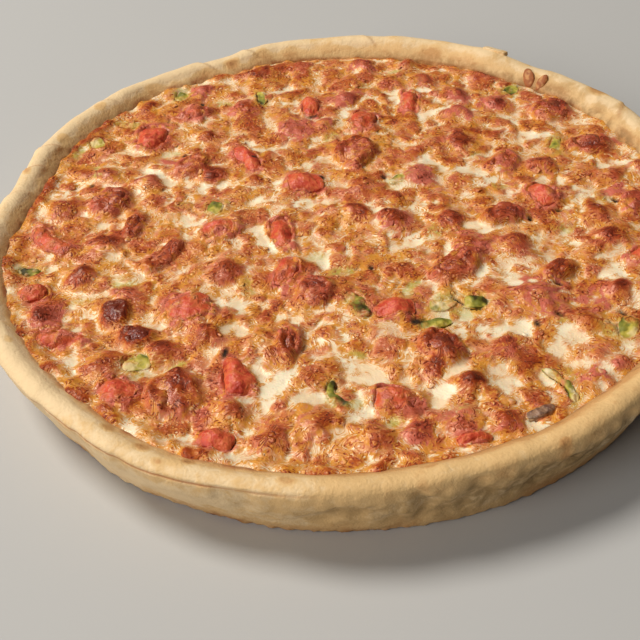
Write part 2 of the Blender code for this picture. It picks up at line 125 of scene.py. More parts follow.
PEPPERS = (
    (-85, 116, 11, 8, 2.4, 80, 0, 0.5, 0.1), (-110, 90, 14, 6, 2.4, 5, 10, 0.45, 0.5),
    (-125, 73, 12, 9, 2.8, -70, 0, 0.12, 0.3), (-41, 109, 14, 5, 2.4, 100, 20, 0.7, 0.2),
    (-60, 12, 11, 9, 3.8, 60, 0, 0.65, 0.0), (-141, -28, 12, 6, 2.4, -10, 0, 1.05, 0.0),
    (-86, -91, 13, 9, 2.0, 0, 0, 0.3, 0.1), (92, 108, 11, 9, 3.8, 60, 0, 0.6, 0.0),
    (106, 53, 15, 6, 2.8, 80, -20, 0.6, 0.1), (27, 28, 10, 6, 2.4, 45, 0, 0.5, 0.3),
    (4, -61, 17, 8, 2.8, -65, 10, 0.85, 0.45), (40, -61, 12, 9, 2.4, 50, 0, 0.3, 0.2),
    (54, -62, 13, 7, 2.8, -10, 0, 0.85, 0.0), (36, -74, 14, 5, 2.4, 5, 10, 0.7, 0.0),
    (-7, -114, 22, 4, 2.8, -60, 150, 0.75, 0.1), (83, -111, 22, 4, 2.6, -65, -70, 0.8, 0.25),
    (113, -81, 15, 9, 3.0, 65, 0, 0.65, 0.3),
)
MEAT = (
    (-110, 20, 20, 16, 4.4, 60, 0, 0.78, 0.7), (-97, 1, 18, 8, 4.0, 80, 0, 0.85, 0.5),
    (-98, -61, 15, 11, 4.8, -70, 0, 1.45, 0.1), (-87, -75, 14, 11, 4.8, 0, 0, 1.25, 0.3),
    (-81, -23, 24, 9, 3.6, 55, 15, 0.85, 0.4), (-69, -108, 24, 20, 5.2, -60, 0, 0.85, 0.5),
    (-24, -83, 18, 9, 4.4, 80, 0, 0.75, 0.8), (-13, -52, 17, 13, 4.0, 80, 0, 0.86, 0.6),
    (7, 53, 22, 19, 4.8, 70, 0, 0.84, 0.75), (-74, 48, 17, 14, 4.4, 60, 0, 0.84, 0.7),
    (109, 86, 20, 16, 4.4, 45, 0, 0.78, 0.8), (123, 52, 20, 15, 4.4, 0, 0, 0.9, 0.6),
    (79, 39, 17, 13, 4.0, 60, 0, 0.82, 0.8), (74, -4, 19, 12, 4.4, 5, 0, 0.92, 0.6),
    (48, -39, 22, 16, 4.4, 30, 0, 0.82, 0.6), (91, -44, 16, 9, 4.4, 35, 20, 1.0, 0.4),
    (37, -89, 20, 14, 5.2, -60, 0, 0.9, 0.5), (133, 1, 16, 12, 4.2, 70, 0, 0.8, 0.7),
)
MUSHROOMS = ((71, -126, 13, 6, 3.2, 20, 0, 0.8, 0.1),)
PLACING = "x y length width rise turn bend "
TOPPINGS = {
    "tomato": (namedtuple("Tomato", PLACING + "cover"), TOMATOES),
    "pepper": (namedtuple("Pepper", PLACING + "tone cover"), PEPPERS),
    "meat": (namedtuple("Meat", PLACING + "brown pink"), MEAT),
    "mushroom": (namedtuple("Mushroom", PLACING + "tone cover"), MUSHROOMS),
}

# Form of each kind, as in the solids: how square its outline is, how rough, its depth below the cheese, its
# number of flat cuts, and how much it narrows, flattens and sinks at its sides. climb is how high the cheese
# climbs round it, as a share of its rise, and patchy how unevenly.
FORMS = {
    "tomato": {"square": 3.0, "rough": 0.07, "depth": 3.0 * MM, "climb": 0.40, "patchy": 0.5, "seed": 100,
               "facets": 7, "taper": 0.28, "flat": 1.0, "slump": 0.40},
    "pepper": {"square": 3.2, "rough": 0.09, "depth": 2.0 * MM, "climb": 0.20, "patchy": 0.4, "seed": 200,
               "facets": 8, "taper": 0.35, "flat": 0.45, "slump": 0.45},
    "meat": {"square": 2.3, "rough": 0.10, "depth": 3.2 * MM, "climb": 0.72, "patchy": 0.5, "seed": 300,
             "facets": 5, "taper": 0.15, "flat": 1.0, "slump": 0.25},
    "mushroom": {"square": 2.4, "rough": 0.08, "depth": 2.2 * MM, "climb": 0.4, "patchy": 0.4, "seed": 400,
                 "facets": 4, "taper": 0.2, "flat": 0.8},
}
RELIEF = {      # size and height in millimetres of the small bumps on each kind's skin
    "tomato": ((7.0, 0.85), (3.2, 0.42), (1.6, 0.14)),
    "pepper": ((5.0, 0.90), (2.4, 0.42), (1.4, 0.10)),
    "meat": ((6.0, 0.32), (3.0, 0.22), (1.6, 0.14)),
    "mushroom": ((5.0, 0.35), (2.4, 0.2), (1.4, 0.1)),
}
TAPERS = {("tomato", 14): 0.55}      # how much wider the end that a topping's turn points to
SCRAP_FORM = {"square": 2.0, "rough": 0.06, "depth": 1.8 * MM}

# Blisters and the flake on the rim: direction, distance in from the rim's outermost line, height, length,
# width and rise, then lean towards the middle and turn in degrees
RIM_BLISTERS = (
    (48.3, 11.6, 31.2, 11.6, 6.0, 1.3, 44, 34), (45.4, 11.8, 31.2, 10.2, 4.8, 1.2, 44, -8),
)
RIM_FLAKE = (57.9, 2.2, 35.4, 14.0, 4.6, 1.3, -10, 88)
FLAKE_FORM = {"square": 6.0, "rough": 0.03, "depth": 1.6 * MM}
# Where one lap of dough ends over the next, across the rim: direction in degrees and step in millimetres
RIM_LAPS = (
    (157.2, 1.2), (163.6, 1.1), (171.5, 0.7), (108.4, 1.0), (118.0, 0.9), (84.0, 0.6), (28.0, 0.7),
    (-8.0, 0.8), (140.0, 0.5),
)

# Where the cheese stayed cream: from x, y to x, y, half width in millimetres, and how pale
CREAM_PATCHES = (
    (-97, 46, -86, 41, 3.5, 1.0), (-83, 36, -58, 29, 3.6, 1.0), (-121, 50, -119, 48, 3.6, 0.8),
    (-119, 39, -118, 36, 2.4, 0.5), (-47, 63, -38, 58, 4.0, 1.0), (-25, 104, -23, 92, 3.0, 0.9),
    (-86, 63, -83, 60, 3.5, 0.7), (-72, 4, -69, -4, 4.2, 1.0), (-35, 18, -31, 28, 3.6, 1.0),
    (-19, 15, -13, 12, 4.6, 1.0), (-41, 14, -34, 20, 3.4, 0.8), (-145, 20, -139, 15, 3.2, 0.6),
    (-134, 74, -131, 70, 3.0, 0.8), (-112, 4, -105, 4, 3.4, 0.8), (-20, 50, -16, 44, 3.2, 0.7),
    (1, 93, 5, 86, 3.6, 0.9), (29, 112, 29, 90, 2.7, 1.0), (45, 86, 50, 92, 3.6, 0.9),
    (45, 113, 48, 111, 2.6, 0.8), (54, 92, 60, 95, 3.4, 0.8), (89, 104, 94, 102, 2.8, 0.9),
    (88, 80, 90, 72, 2.4, 0.8), (91, 62, 99, 61, 3.8, 1.0), (60, 35, 78, 24, 3.6, 1.0),
    (38, 45, 50, 39, 3.4, 0.8), (128, 34, 141, 39, 3.4, 1.0), (97, 24, 112, 18, 4.0, 0.95),
    (115, 12, 118, 3, 3.0, 0.8), (123, 9, 127, 6, 3.6, 0.7), (15, 7, 23, 2, 3.6, 1.0),
    (37, 9, 41, 7, 3.0, 0.9), (24, 34, 22, 22, 2.8, 1.0), (108, 45, 113, 44, 2.8, 0.7),
    (72, 23, 78, 20, 3.4, 0.6), (-37, -4, -36, -16, 4.2, 0.95), (-15, -24, -8, -31, 4.6, 0.9),
    (-27, -67, -14, -67, 3.6, 0.9), (-51, -57, -46, -60, 4.2, 0.9), (-47, -72, -41, -77, 5.4, 1.0),
    (-39, -96, -28, -105, 4.6, 1.0), (-34, -109, -37, -120, 4.0, 0.95), (-116, -58, -113, -66, 3.2, 0.8),
    (-124, -38, -120, -36, 3.4, 0.8), (-129, -27, -125, -23, 2.6, 0.4), (-139, -19, -134, -21, 2.8, 0.5),
    (-112, -95, -112, -88, 3.0, 0.8), (-60, -131, -65, -138, 3.4, 0.8), (-91, -66, -85, -64, 3.4, 0.7),
    (-67, -81, -58, -86, 2.8, 0.6), (-103, -20, -98, -30, 3.0, 0.7), (-43, -140, -47, -143, 3.6, 0.9),
    (-39, -127, -36, -130, 3.2, 0.8), (-14, -84, -3, -88, 4.4, 1.0), (-5, -93, 0, -97, 3.4, 0.9),
    (-19, -115, -15, -116, 3.4, 1.0), (21, -17, 33, -20, 4.2, 1.0), (47, -28, 54, -30, 3.6, 0.9),
    (60, -11, 64, -13, 3.8, 0.9), (12, -48, 18, -49, 3.6, 0.9), (44, -70, 50, -66, 3.6, 0.9),
    (46, -78, 72, -79, 4.0, 1.0), (58, -45, 75, -50, 3.8, 0.95), (0, -100, 15, -104, 4.8, 1.0),
    (46, -94, 35, -113, 4.4, 1.0), (33, -114, 31, -118, 4.6, 0.95), (59, -104, 61, -112, 4.8, 0.9),
    (4, -112, 2, -121, 3.8, 0.9), (24, -124, 27, -125, 3.0, 0.8), (12, -129, 22, -126, 3.2, 0.8),
    (102, 2, 107, 1, 3.6, 0.9), (92, -22, 100, -25, 4.4, 0.8), (111, -38, 116, -39, 3.6, 0.9),
    (74, -104, 80, -118, 3.2, 0.9), (81, -91, 86, -98, 3.6, 0.9), (95, -101, 89, -116, 6.4, 0.75),
    (57, -19, 60, -21, 3.0, 0.7), (89, -82, 95, -88, 3.2, 0.7), (62, -130, 67, -131, 3.4, 0.95),
    (108, -49, 118, -45, 2.8, 0.8), (36, -54, 33, -57, 3.0, 0.8), (44, 143, 48, 142, 2.8, 0.4),
    (-27, 122, -24, 118, 3.0, 0.6), (-63, 100, -60, 96, 3.0, 0.5), (140, -20, 146, -28, 3.6, 0.9),
    (143, 8, 147, 12, 3.2, 0.8), (138, -50, 132, -54, 3.2, 0.8), (125, -90, 118, -96, 3.4, 0.8),
)
# Cheese stained red or pink from below: x, y, radius, strength
BLUSHES = (
    (38, 31, 9, 0.9), (62, 85, 7, 1.0), (62, 103, 8, 1.0), (80, -60, 13, 1.0), (15, 138, 8, 1.0),
    (138, 60, 7, 1.6), (-22, 76, 12, 1.0), (-74, 121, 8, 0.9), (97, -110, 10, 0.7), (-129, -61, 10, 0.9),
    (-50, 98, 9, 0.6), (-84, 54, 7, 1.0), (81, 95, 9, 1.0), (22, -3, 10, 0.7), (4, 104, 9, 0.8),
    (-8, 80, 7, 1.1), (56, -24, 12, 0.5), (102, -62, 9, 0.7), (-25, -45, 8, 0.9), (60, -133, 6, 0.5),
    (24, -134, 7, 0.6), (127, 14, 8, 0.8),
)
# Cheese tinted green by pepper under it: x, y, length, width, turn, strength
GREEN_TINTS = (
    (-86, 118, 10, 10, 0, 0.9), (-62, 107, 12, 7, 0, 0.8), (-121, 49, 4, 12, 10, 1.4),
    (-118, 41, 8, 4, -10, 1.6), (-134, 64, 6, 10, 0, 1.5), (-75, 15, 8, 7, 0, 0.6), (-5, 68, 10, 7, 0, 0.9),
    (-68, -92, 9, 5, 0, 1.0), (28, -52, 4.5, 14, -20, 1.3), (98, -15, 12, 7, 0, 0.7),
    (40, -13, 5, 10, 0, 0.8), (43, -123, 9, 4, 0, 1.0), (-5, -115, 10, 8, 0, 1.2), (33, 131, 4, 9, 30, 1.1),
    (12, 118, 7, 6, 0, 0.6), (-97, -42, 12, 9, 0, 0.7), (75, 20, 9, 6, 0, 0.6), (-43, -47, 8, 14, 0, 0.6),
    (-12, -27, 10, 8, 0, 0.6), (30, 131, 6, 5, 0, 0.7), (-36, 125, 5, 10, 0, 0.5), (16, -127, 9, 5, 40, 1.0),
    (108, -82, 12, 10, 0, 0.8), (84, -107, 9, 16, 20, 0.5), (-83, -96, 14, 10, 0, 0.6),
    (46, -66, 18, 8, -20, 0.7), (-85, 128, 9, 12, 0, 0.4), (120, 8, 9, 8, 0, 0.4), (3, -90, 8, 4, -20, 0.9),
    (-85, 61, 9, 5, 0, 0.5), (67, 47, 8, 6, 30, 0.5), (-115, -50, 9, 6, 0, 0.4), (88, -76, 6, 4, 0, 0.7),
    (105, 46, 9, 8, 0, 0.5), (142, -70, 9, 5, 30, 0.8), (149, -10, 5, 9, 0, 0.8), (-1, -39, 10, 8, 0, 1.7),
    (40, -60, 10, 9, 0, 1.0),
)
# Scorched spots and holes: x, y, length, width, turn, depth in millimetres
SCORCHES = (
    (85, -6, 3, 4, 20, 1.6), (99, -1, 4, 3, 0, 1.4), (87, -73, 6, 3, -50, 1.6), (113, -72, 3, 6, 10, 1.6),
    (126, 6, 3, 5, 30, 1.2), (90, -53, 5, 3, -30, 1.6), (-73, 107, 3, 6, 0, 0.0), (-14, 88, 7, 3, 0, 0.0),
    (-50, -88, 3, 8, -10, 0.0), (-43, 50, 4, 3, 0, 0.0), (-10, 33, 4, 5, 0, 0.4),
    (46, -60, 1.4, 10, 38, 0.8), (11, -37, 3, 3, 0, 0.6), (28, -73, 6, 5, 0, 0.3), (20, 31, 3, 4, 0, 0.8),
    (-122, 35, 3, 4, 0, 0.5), (-149, 20, 2.5, 6, 10, 0.5), (77, -77, 3, 5, 20, 0.6), (-78, 58, 5, 3, 0, 0.4),
)
# Toasted spots of the rim: direction in degrees, distance in from its outermost line, radius, strength
RIM_TOASTS = (
    (-119.2, 8, 4.5, 0.8), (-125.4, 8.5, 3.5, 0.6), (-115.8, 4.3, 3, 0.5), (-112.3, 9, 4, 0.7),
    (-98.6, 6.3, 4, 0.5), (164.7, 3.5, 3.5, 0.7), (141.8, 6.5, 4, 0.5), (112.2, 9, 6, 0.9),
    (34.5, 2.8, 7, 0.9), (-62.5, 1.6, 3, 0.9), (106, 12, 9, 0.7), (100, 13, 8, 0.6), (118, 12, 8, 0.6),
    (48, 12, 6, 0.5), (-30, 7, 5, 0.5), (5, 6, 6, 0.6), (-80, 9, 4, 0.4), (70, 12, 7, 0.4),
    (130, 12, 7, 0.4), (153, 8, 4, 0.4), (-150, 7, 3, 0.4),
)
# The fold where two sheets of dough meet under the near-left rim: direction in degrees, height in millimetres
FOLD = (
    (-178, 20.0), (-165, 24.5), (-152, 28.0), (-143, 30.0), (-133, 30.8), (-118, 30.6), (-109, 31.6),
    (-96, 32.9),
)

# Studio: name, place, size in metres, power in watts and colour of each light, and the point they face
LIGHTS = (
    ("key", (-1.70, 0.80, 2.82), 1.28, 106.0, (1.0, 0.97, 0.92)),
    ("fill", (-2.34, -1.82, 1.60), 1.92, 56.0, (1.0, 0.98, 0.96)),
)
LIGHT_AIM = (0.0, 0.0, 0.03)
STUDIO_COLOUR = (1.0, 0.98, 0.95, 1.0)
STUDIO_STRENGTH = 0.085
FLOOR_COLOUR = (0.47, 0.46, 0.44, 1.0)
FLOOR_HALF_SIZE = 3.0
CAMERA_PLACE = (0.0, -0.40835, 0.33471)
CAMERA_TURN = (47.936, 2.733, -0.509)        # degrees
CAMERA_LENS = 61.875
CAMERA_SENSOR = 36.0

MOST_CHEESE_CELLS = 308
CRUST_SLICES = 860
OUTWARD_ROWS = 52                            # rows of the crust's section that face out or up
UNDERSIDE_RINGS = (0.25, 0.5, 0.75, 0.93, 0.985)     # shares of the foot's radius
FLOOR_RINGS = (0.8, 0.4)                     # shares of the floor's radius
CHUNK_SUBDIVISIONS = 5
SCRAP_SUBDIVISIONS = 4
CHEESE_REACH = 4.6 * MM                      # how far the cheese runs over the crust's inner wall
CHEESE_FOOT = 0.985                          # the cheese's underside as a share of its top
NOISE_TABLE = 256                            # slopes that the noise repeats
PEBBLE_TABLE = 128                           # pebbles that the domes repeat, each way

BUBBLE_SPACING = 5.4 * MM
BUBBLE_RADII = (0.7 * MM, 1.8 * MM)
BUBBLE_DENSITY = 60000.0                     # most bubbles for each square metre
BUBBLE_FLATNESS = 0.22
BUBBLE_DENT = 1.5                            # size of the dents in the bubbles in millimetres
BUBBLE_MARGIN = 2.5 * MM                     # bare ring beside the crust
BUBBLE_BED_CELLS = 150
BUBBLE_SEED = 7


def seen(red, green, blue):
    """A colour as it looks on a screen, 0 to 255, as the linear values that materials use."""
    return tuple((part / 255 / 12.92) if part < 10.3 else ((part / 255 + 0.055) / 1.055) ** 2.4
                 for part in (red, green, blue))


# --------------------------------------------------------------------------------- number helpers

def eased(value, low, high):
    """0 at low and 1 at high, with a soft start and end; low may be above high."""
    share = np.clip((value - low) / (high - low), 0.0, 1.0)
    return share * share * (3.0 - 2.0 * share)


def wrapped(degrees):
    """Degrees brought into the range from -180 to 180."""
    return (degrees + 180.0) % 360.0 - 180.0


def bell(offset, half_width):
    """A smooth bump, 1 in its middle, for a difference of direction in degrees."""
    return np.exp(-0.5 * (wrapped(offset) / half_width) ** 2)


def bells(degrees, rows):
    """Sum of bumps in metres, from rows of direction, half width and millimetres."""
    return sum(size * MM * bell(degrees - at, width) for at, width, size in rows)


def wave_field(seed, count, shortest, longest):
    """Random plane waves between two wavelengths, as wave vectors and phases."""
    draw = np.random.default_rng(seed)
    heading = draw.uniform(0.0, 2.0 * math.pi, count)
    length = draw.uniform(shortest, longest, count)
    vectors = np.stack([np.cos(heading), np.sin(heading)], axis=1) * (2.0 * math.pi / length)[:, None]
    return vectors, draw.uniform(0.0, 2.0 * math.pi, count)


def waves_at(field, x, y):
    """Value of a wave field at places, about -1 to 1."""
    vectors, phases = field
    total = sum(np.cos(v[0] * x + v[1] * y + p) for v, p in zip(vectors, phases))
    return total / math.sqrt(len(phases) / 2.0) / 2.0


def noise(points, size, seed):
    """Smooth noise between about -1 and 1, with bumps of a size in metres; each use has its own seed."""
    draw, last = np.random.default_rng(seed), NOISE_TABLE - 1
    slopes = draw.normal(size=(NOISE_TABLE, 3))
    slopes /= np.linalg.norm(slopes, axis=1)[:, None]
    order = draw.permutation(NOISE_TABLE)
    place = points / size + draw.uniform(0.0, 64.0, 3)
    cell = np.floor(place).astype(int)
    offset = place - cell
    ease = offset ** 3 * (offset * (offset * 6.0 - 15.0) + 10.0)
    total = np.zeros(len(points))
    for corner in itertools.product((0, 1), repeat=3):
        x, y, z = ((cell + corner) & last).T
        slope = slopes[order[(order[(order[x] + y) & last] + z) & last]]
        share = np.prod(np.where(np.array(corner) == 1, ease, 1.0 - ease), axis=1)
        total += share * np.einsum("ij,ij->i", slope, offset - corner)
    return 1.7 * total


def grains(points, *rows, start=0.0):
    """A start value with noises added, from rows of bump size in millimetres, share and seed."""
    return sum((share * noise(points, size * MM, seed) for size, share, seed in rows), start)


def flat_places(x, y):
    """Places at height 0, as points."""
    return np.stack([x, y, np.zeros_like(x)], axis=1)


def ring_points(radius, angle, height):
    """Points at a radius, direction and height."""
    return np.stack([radius * np.cos(angle), radius * np.sin(angle), height], axis=-1).reshape(-1, 3)


def domes(x, y, size, seed, soft=False):
    """Rounded pebbles side by side, 0 between them and up to 1 on top; soft ones run out at their edges."""
    draw, last = np.random.default_rng(seed), PEBBLE_TABLE - 1
    cells = (PEBBLE_TABLE, PEBBLE_TABLE)
    jitter = draw.uniform(0.1, 0.9, (*cells, 2))
    strength = draw.uniform(0.3, 1.0, cells)
    reach = draw.uniform(0.45, 0.75, cells)
    column, row = x / size + 700.0, y / size + 700.0
    best = np.zeros(len(x))
    for aside, along in itertools.product((-1, 0, 1), repeat=2):
        i, j = np.floor(column).astype(int) + aside, np.floor(row).astype(int) + along
        pebble = (i & last, j & last)
        spot = jitter[pebble]
        distance = np.hypot(i + spot[:, 0] - column, j + spot[:, 1] - row) / reach[pebble]
        inside = np.clip(1.0 - distance ** 2, 0.0, 1.0)
        form = inside * (2.0 - inside) if soft else np.sqrt(inside)
        best = np.maximum(best, strength[pebble] * form)
    return best


# ------------------------------------------------------------------------------------ crust forms

def rim_waves(angle, turn, sign):
    """Slow waves of the rim, in metres."""
    return sum(size * MM * np.cos((count + turn) * angle + sign * phase) for count, phase, size in RIM_WAVES)


def rim_radius(angle):
    """Radius of the rim's outermost line in a direction."""
    return RIM_RADIUS + rim_waves(angle, 0, 1) - bells(np.degrees(angle), RIM_DIPS)


def crest_height(angle):
    """Height of the rim's top in a direction."""
    return CREST_HEIGHT + bells(np.degrees(angle), RIM_SWELLS) + 0.7 * rim_waves(angle, 1, -1)


def base_radius(angle):
    """Radius of the foot of the wall, with the small notch."""
    return BASE_RADIUS + 0.8 * rim_waves(angle, 2, 1) - bells(np.degrees(angle), FOOT_NOTCHES)


def wall_radius(angle):
    """Radius of the crust's inner wall at the level of the cheese."""
    return rim_radius(angle) - WALL_FOOT


def crust_profile(angle):
    """Radius and height round the crust's section, from the foot of the wall over the rim to the floor."""
    outer, crest, foot = rim_radius(angle), crest_height(angle), base_radius(angle)
    lean, rise = outer - foot, crest - CHEESE_LEVEL
    level = np.ones_like(angle)
    return np.array([
        (foot - 1.2 * MM, 0.0 * level), (foot, 1.2 * MM * level), (foot + 0.28 * lean, 0.27 * crest),
        (foot + 0.62 * lean, 0.52 * crest), (foot + 0.93 * lean, 0.74 * crest),
        (outer, crest - 4.6 * MM), (outer - 0.7 * MM, crest - 2.2 * MM), (outer - 2.4 * MM, crest - 0.6 * MM),
        (outer - 4.8 * MM, crest), (outer - 7.4 * MM, crest - 0.5 * MM),
        (outer - RIM_WIDTH, crest - 1.9 * MM), (outer - 12.2 * MM, CHEESE_LEVEL + 0.42 * rise),
        (outer - WALL_FOOT, CHEESE_LEVEL * level), (outer - FLOOR_WALL, FLOOR_HEIGHT * level),
    ])


PROFILE_STEPS = (2, 9, 9, 9, 12, 7, 5, 4, 4, 4, 6, 6, 3)      # parts between the profile's points


def smooth_profile(angle):
    """The crust's section as a smooth curve through the profile's points: radii and heights by direction."""
    points = crust_profile(angle)
    steps = np.linalg.norm(np.diff(points, axis=0), axis=1)
    along = np.concatenate([np.zeros((1, len(angle))), np.cumsum(steps, axis=0)])
    last = len(points) - 1
    radii, heights = [], []
    for k, parts in enumerate(PROFILE_STEPS):
        before, after = max(k - 1, 0), min(k + 2, last)
        reach = along[k + 1] - along[k]
        start = (points[k + 1] - points[before]) / (along[k + 1] - along[before]) * reach
        end = (points[after] - points[k]) / (along[after] - along[k]) * reach
        for part in range(parts if k < last - 1 else parts + 1):
            t = part / parts
            place = ((2 * t ** 3 - 3 * t ** 2 + 1) * points[k] + (t ** 3 - 2 * t ** 2 + t) * start
                     + (3 * t ** 2 - 2 * t ** 3) * points[k + 1] + (t ** 3 - t ** 2) * end)
            radii.append(place[0])
            heights.append(place[1])
    return np.array(radii), np.array(heights)


def fold_depth(degrees, height):
    """How far the wall is pushed in along the fold, and how strongly painted shade darkens its crease."""
    turns, heights = np.array(FOLD).T
    line = np.interp(degrees, turns, heights * MM)
    share = eased(degrees, -178.0, -160.0) * eased(degrees, -92.0, -104.0)
    above = (height - line) / MM
    groove = np.exp(-(above / 0.55) ** 2)
    lip = np.exp(-((above - 1.7) / 1.3) ** 2)
    under = np.exp(-((above + 2.6) / 2.2) ** 2)
    return share * (0.3 * groove - 0.25 * lip + 0.25 * under) * MM, share * np.exp(-(above / 0.40) ** 2)


def wall_share(inset):
    """1 on the outer wall and 0 on the rim's top and inner side, from the distance in."""
    return eased(inset, 9.0 * MM, 4.0 * MM)


def wall_dents(points):
    """Slanted dents that fingers pressed into the wall, 0 to 1, and the slanted places that they follow."""
    slanted = points @ np.array([[0.75, 0.25, 0.0], [-0.25, 0.75, 0.0], [0.0, 0.0, 0.45]])
    return eased(noise(slanted, 12 * MM, 95), 0.05, 0.55), slanted


def rim_laps(degrees, inset):
    """Height of the sharp steps across the rim, each fading along it, and how strongly painted shade darkens
    their creases.
    """
    height, crease = np.zeros_like(inset), np.zeros_like(inset)
    for at, step in RIM_LAPS:
        past = wrapped(degrees - at + 0.30 * (inset / MM - 4.0))
        height += step * MM * np.exp(-np.clip(past, 0.0, None) / 3.5) * eased(past, -0.40, 0.15)
        crease = np.maximum(crease, min(step, 1.0) * np.exp(-((past + 0.15) / 0.32) ** 2))
    share = eased(inset, 12.0 * MM, 8.5 * MM)
    return share * height, share * crease


# ----------------------------------------------------------------------------------- cheese forms

SLOW_WAVES = wave_field(11, 10, 34.0 * MM, 70.0 * MM)
QUICK_WAVES = wave_field(12, 16, 15.0 * MM, 26.0 * MM)


def cheese_height(x, y):
    """Height of the baked cheese over places, with the lumps under it, as in the solids."""
    height = CHEESE_LEVEL + CHEESE_DOME * (1.0 - (x ** 2 + y ** 2) / RIM_RADIUS ** 2)
    height = height + 0.7 * MM * waves_at(SLOW_WAVES, x, y) + 0.6 * MM * waves_at(QUICK_WAVES, x, y)
    for lump_x, lump_y, radius, rise, *_ in COVERED_LUMPS:
        height = height + rise * MM * np.exp(-1.3 * spot_distance(lump_x, lump_y, radius, x, y) ** 2)
    return height


def turned_places(middle_x, middle_y, turn, x, y):
    """Places measured from a middle in millimetres, along and across a turn in degrees, in metres."""
    cos, sin = math.cos(math.radians(turn)), math.sin(math.radians(turn))
    u, v = x - middle_x * MM, y - middle_y * MM
    return u * cos + v * sin, v * cos - u * sin


def footprint(row, square, x, y, taper=0.0):
    """Distance of places from a topping's middle, 1 on its outline, following its turn, bend and taper."""
    u, v = turned_places(row.x, row.y, row.turn, x, y)
    if row.bend:
        radius = row.length * MM / math.radians(row.bend)
        side = math.copysign(1.0, radius)
        around = np.arctan2(side * u, side * (radius - v))
        u, v = around * radius, radius - side * np.hypot(u, radius - v)
    u, v = u / (0.5 * row.length * MM), v / (0.5 * row.width * MM)
    v = v * (1.0 + 0.5 * abs(taper)) / np.clip(1.0 + taper * u, 0.3, 3.0)
    return (np.abs(u) ** square + np.abs(v) ** square) ** (1.0 / square)


def patch_distance(row, x, y):
    """Distance of places from a patch that runs from point to point, 1 on its outline."""
    x1, y1, x2, y2, half_width = (part * MM for part in row)
    run_x, run_y = x2 - x1, y2 - y1
    share = np.clip(((x - x1) * run_x + (y - y1) * run_y) / (run_x ** 2 + run_y ** 2), 0.0, 1.0)
    return np.hypot(x - x1 - share * run_x, y - y1 - share * run_y) / half_width


def spot_distance(middle_x, middle_y, radius, x, y):
    """Distance of places from a round spot's middle, 1 on its outline."""
    return np.hypot(x - middle_x * MM, y - middle_y * MM) / (radius * MM)


def oval_distance(row, x, y, square=2.0):
    """Distance of places from an oval's middle, 1 on its outline; a higher square makes it boxy."""
    middle_x, middle_y, length, width, turn = row
    u, v = turned_places(middle_x, middle_y, turn, x, y)
    u, v = np.abs(u) / (0.5 * length * MM), np.abs(v) / (0.5 * width * MM)
    return (u ** square + v ** square) ** (1.0 / square)


def toppings():
    """Every topping with its kind and its number from 1."""
    for kind, (columns, rows) in TOPPINGS.items():
        for number, row in enumerate(rows, 1):
            yield kind, number, columns(*row)


def brown_lumps(look, wx, wy, middle, quick):
    """Brown and blush the cheese over the lumps under it, each lump darker on its side towards its heading as
    painted shade.
    """
    draw = np.random.default_rng(41)
    for lump_x, lump_y, radius, _, *own_brown in COVERED_LUMPS:
        brown, pink, heading = draw.uniform(0.56, 0.86), draw.uniform(0.2, 0.9), draw.uniform(-0.6, 1.6)
        if own_brown:
            brown = own_brown[0]
        aside, along = (wx - lump_x * MM) / (radius * MM), (wy - lump_y * MM) / (radius * MM)
        distance = np.hypot(aside, along)
        cover = eased(distance, 1.20, 0.45)
        look.crisp = np.maximum(look.crisp, eased(distance, 1.10, 0.62))
        # painted shade: each lump is more toasted on the side towards its heading, mostly the right and far
        # side
        painted_side_shade = 0.22 * np.clip(aside * math.cos(heading) + along * math.sin(heading), -1.0, 1.0)
        baked = 0.12 + cover * (brown + painted_side_shade - 0.035 + 0.30 * middle + 0.24 * quick)
        look.toast = np.maximum(look.toast, baked)
        look.blush = look.blush + cover * 0.5 * pink
        look.cream = look.cream * (1.0 - min(brown, 0.8) * eased(distance, 1.1, 0.6))


def colour_round(look, kind, row, near, middle, quick):
    """Colour the cheese round one topping; near is the distance from its outline in millimetres."""
    ring = eased(near, 3.2, 0.0)
    if kind == "meat":
        baked = 0.20 + (row.brown - 0.20 + 0.20 * middle + 0.30 * quick) * eased(near, 3.0, -2.6)
        look.blush = look.blush + ring * (row.pink - 0.2)
        look.cream = look.cream * (1.0 - 0.9 * ring)
    elif kind == "tomato":
        baked = ring * (0.34 + 0.25 * row.cover + 0.25 * quick)
        look.blush = look.blush + 0.6 * ring
        look.cream = look.cream * (1.0 - 0.6 * ring)
    elif kind == "pepper":
        baked = ring * (0.30 + 0.30 * quick)
        look.green = np.maximum(look.green, 0.55 * ring)
    else:
        baked = ring * 0.62
    look.toast = np.maximum(look.toast, baked)


def cover_toppings(look, x, y, push_x, push_y, flat, middle, quick):
    """Let the cheese climb each topping, make room for it below, and colour the cheese round it."""
    patchy = grains(flat, (6, 0.5, 37), (3, 0.25, 38))
    for kind, number, row in toppings():
        form = FORMS[kind]
        square = form["square"]
        taper = TAPERS.get((kind, number), 0.0)
        distance = footprint(row, square, x + 0.6 * push_x, y + 0.6 * push_y, taper)
        near = (distance - 1.0) * 0.25 * (row.length + row.width)
        lift = form["climb"] * (0.45 + 1.2 * row.cover if kind == "tomato" else 1.0)
        climb = np.clip(lift + form["patchy"] * patchy, 0.05, 1.1)
        film = climb * eased(near, 2.8, -1.6)
        look.mound = np.maximum(look.mound, film * row.rise * MM)
        body = 0.82 * row.rise * np.clip(1.0 - distance ** square, 0.0, 1.0) ** (1.0 / square)
        room = eased(body - film * row.rise, 0.3, 1.4) * eased(distance + 0.15 * patchy, 0.98, 0.68)
        look.sink = np.maximum(look.sink, room)
        colour_round(look, kind, row, near, middle, quick)


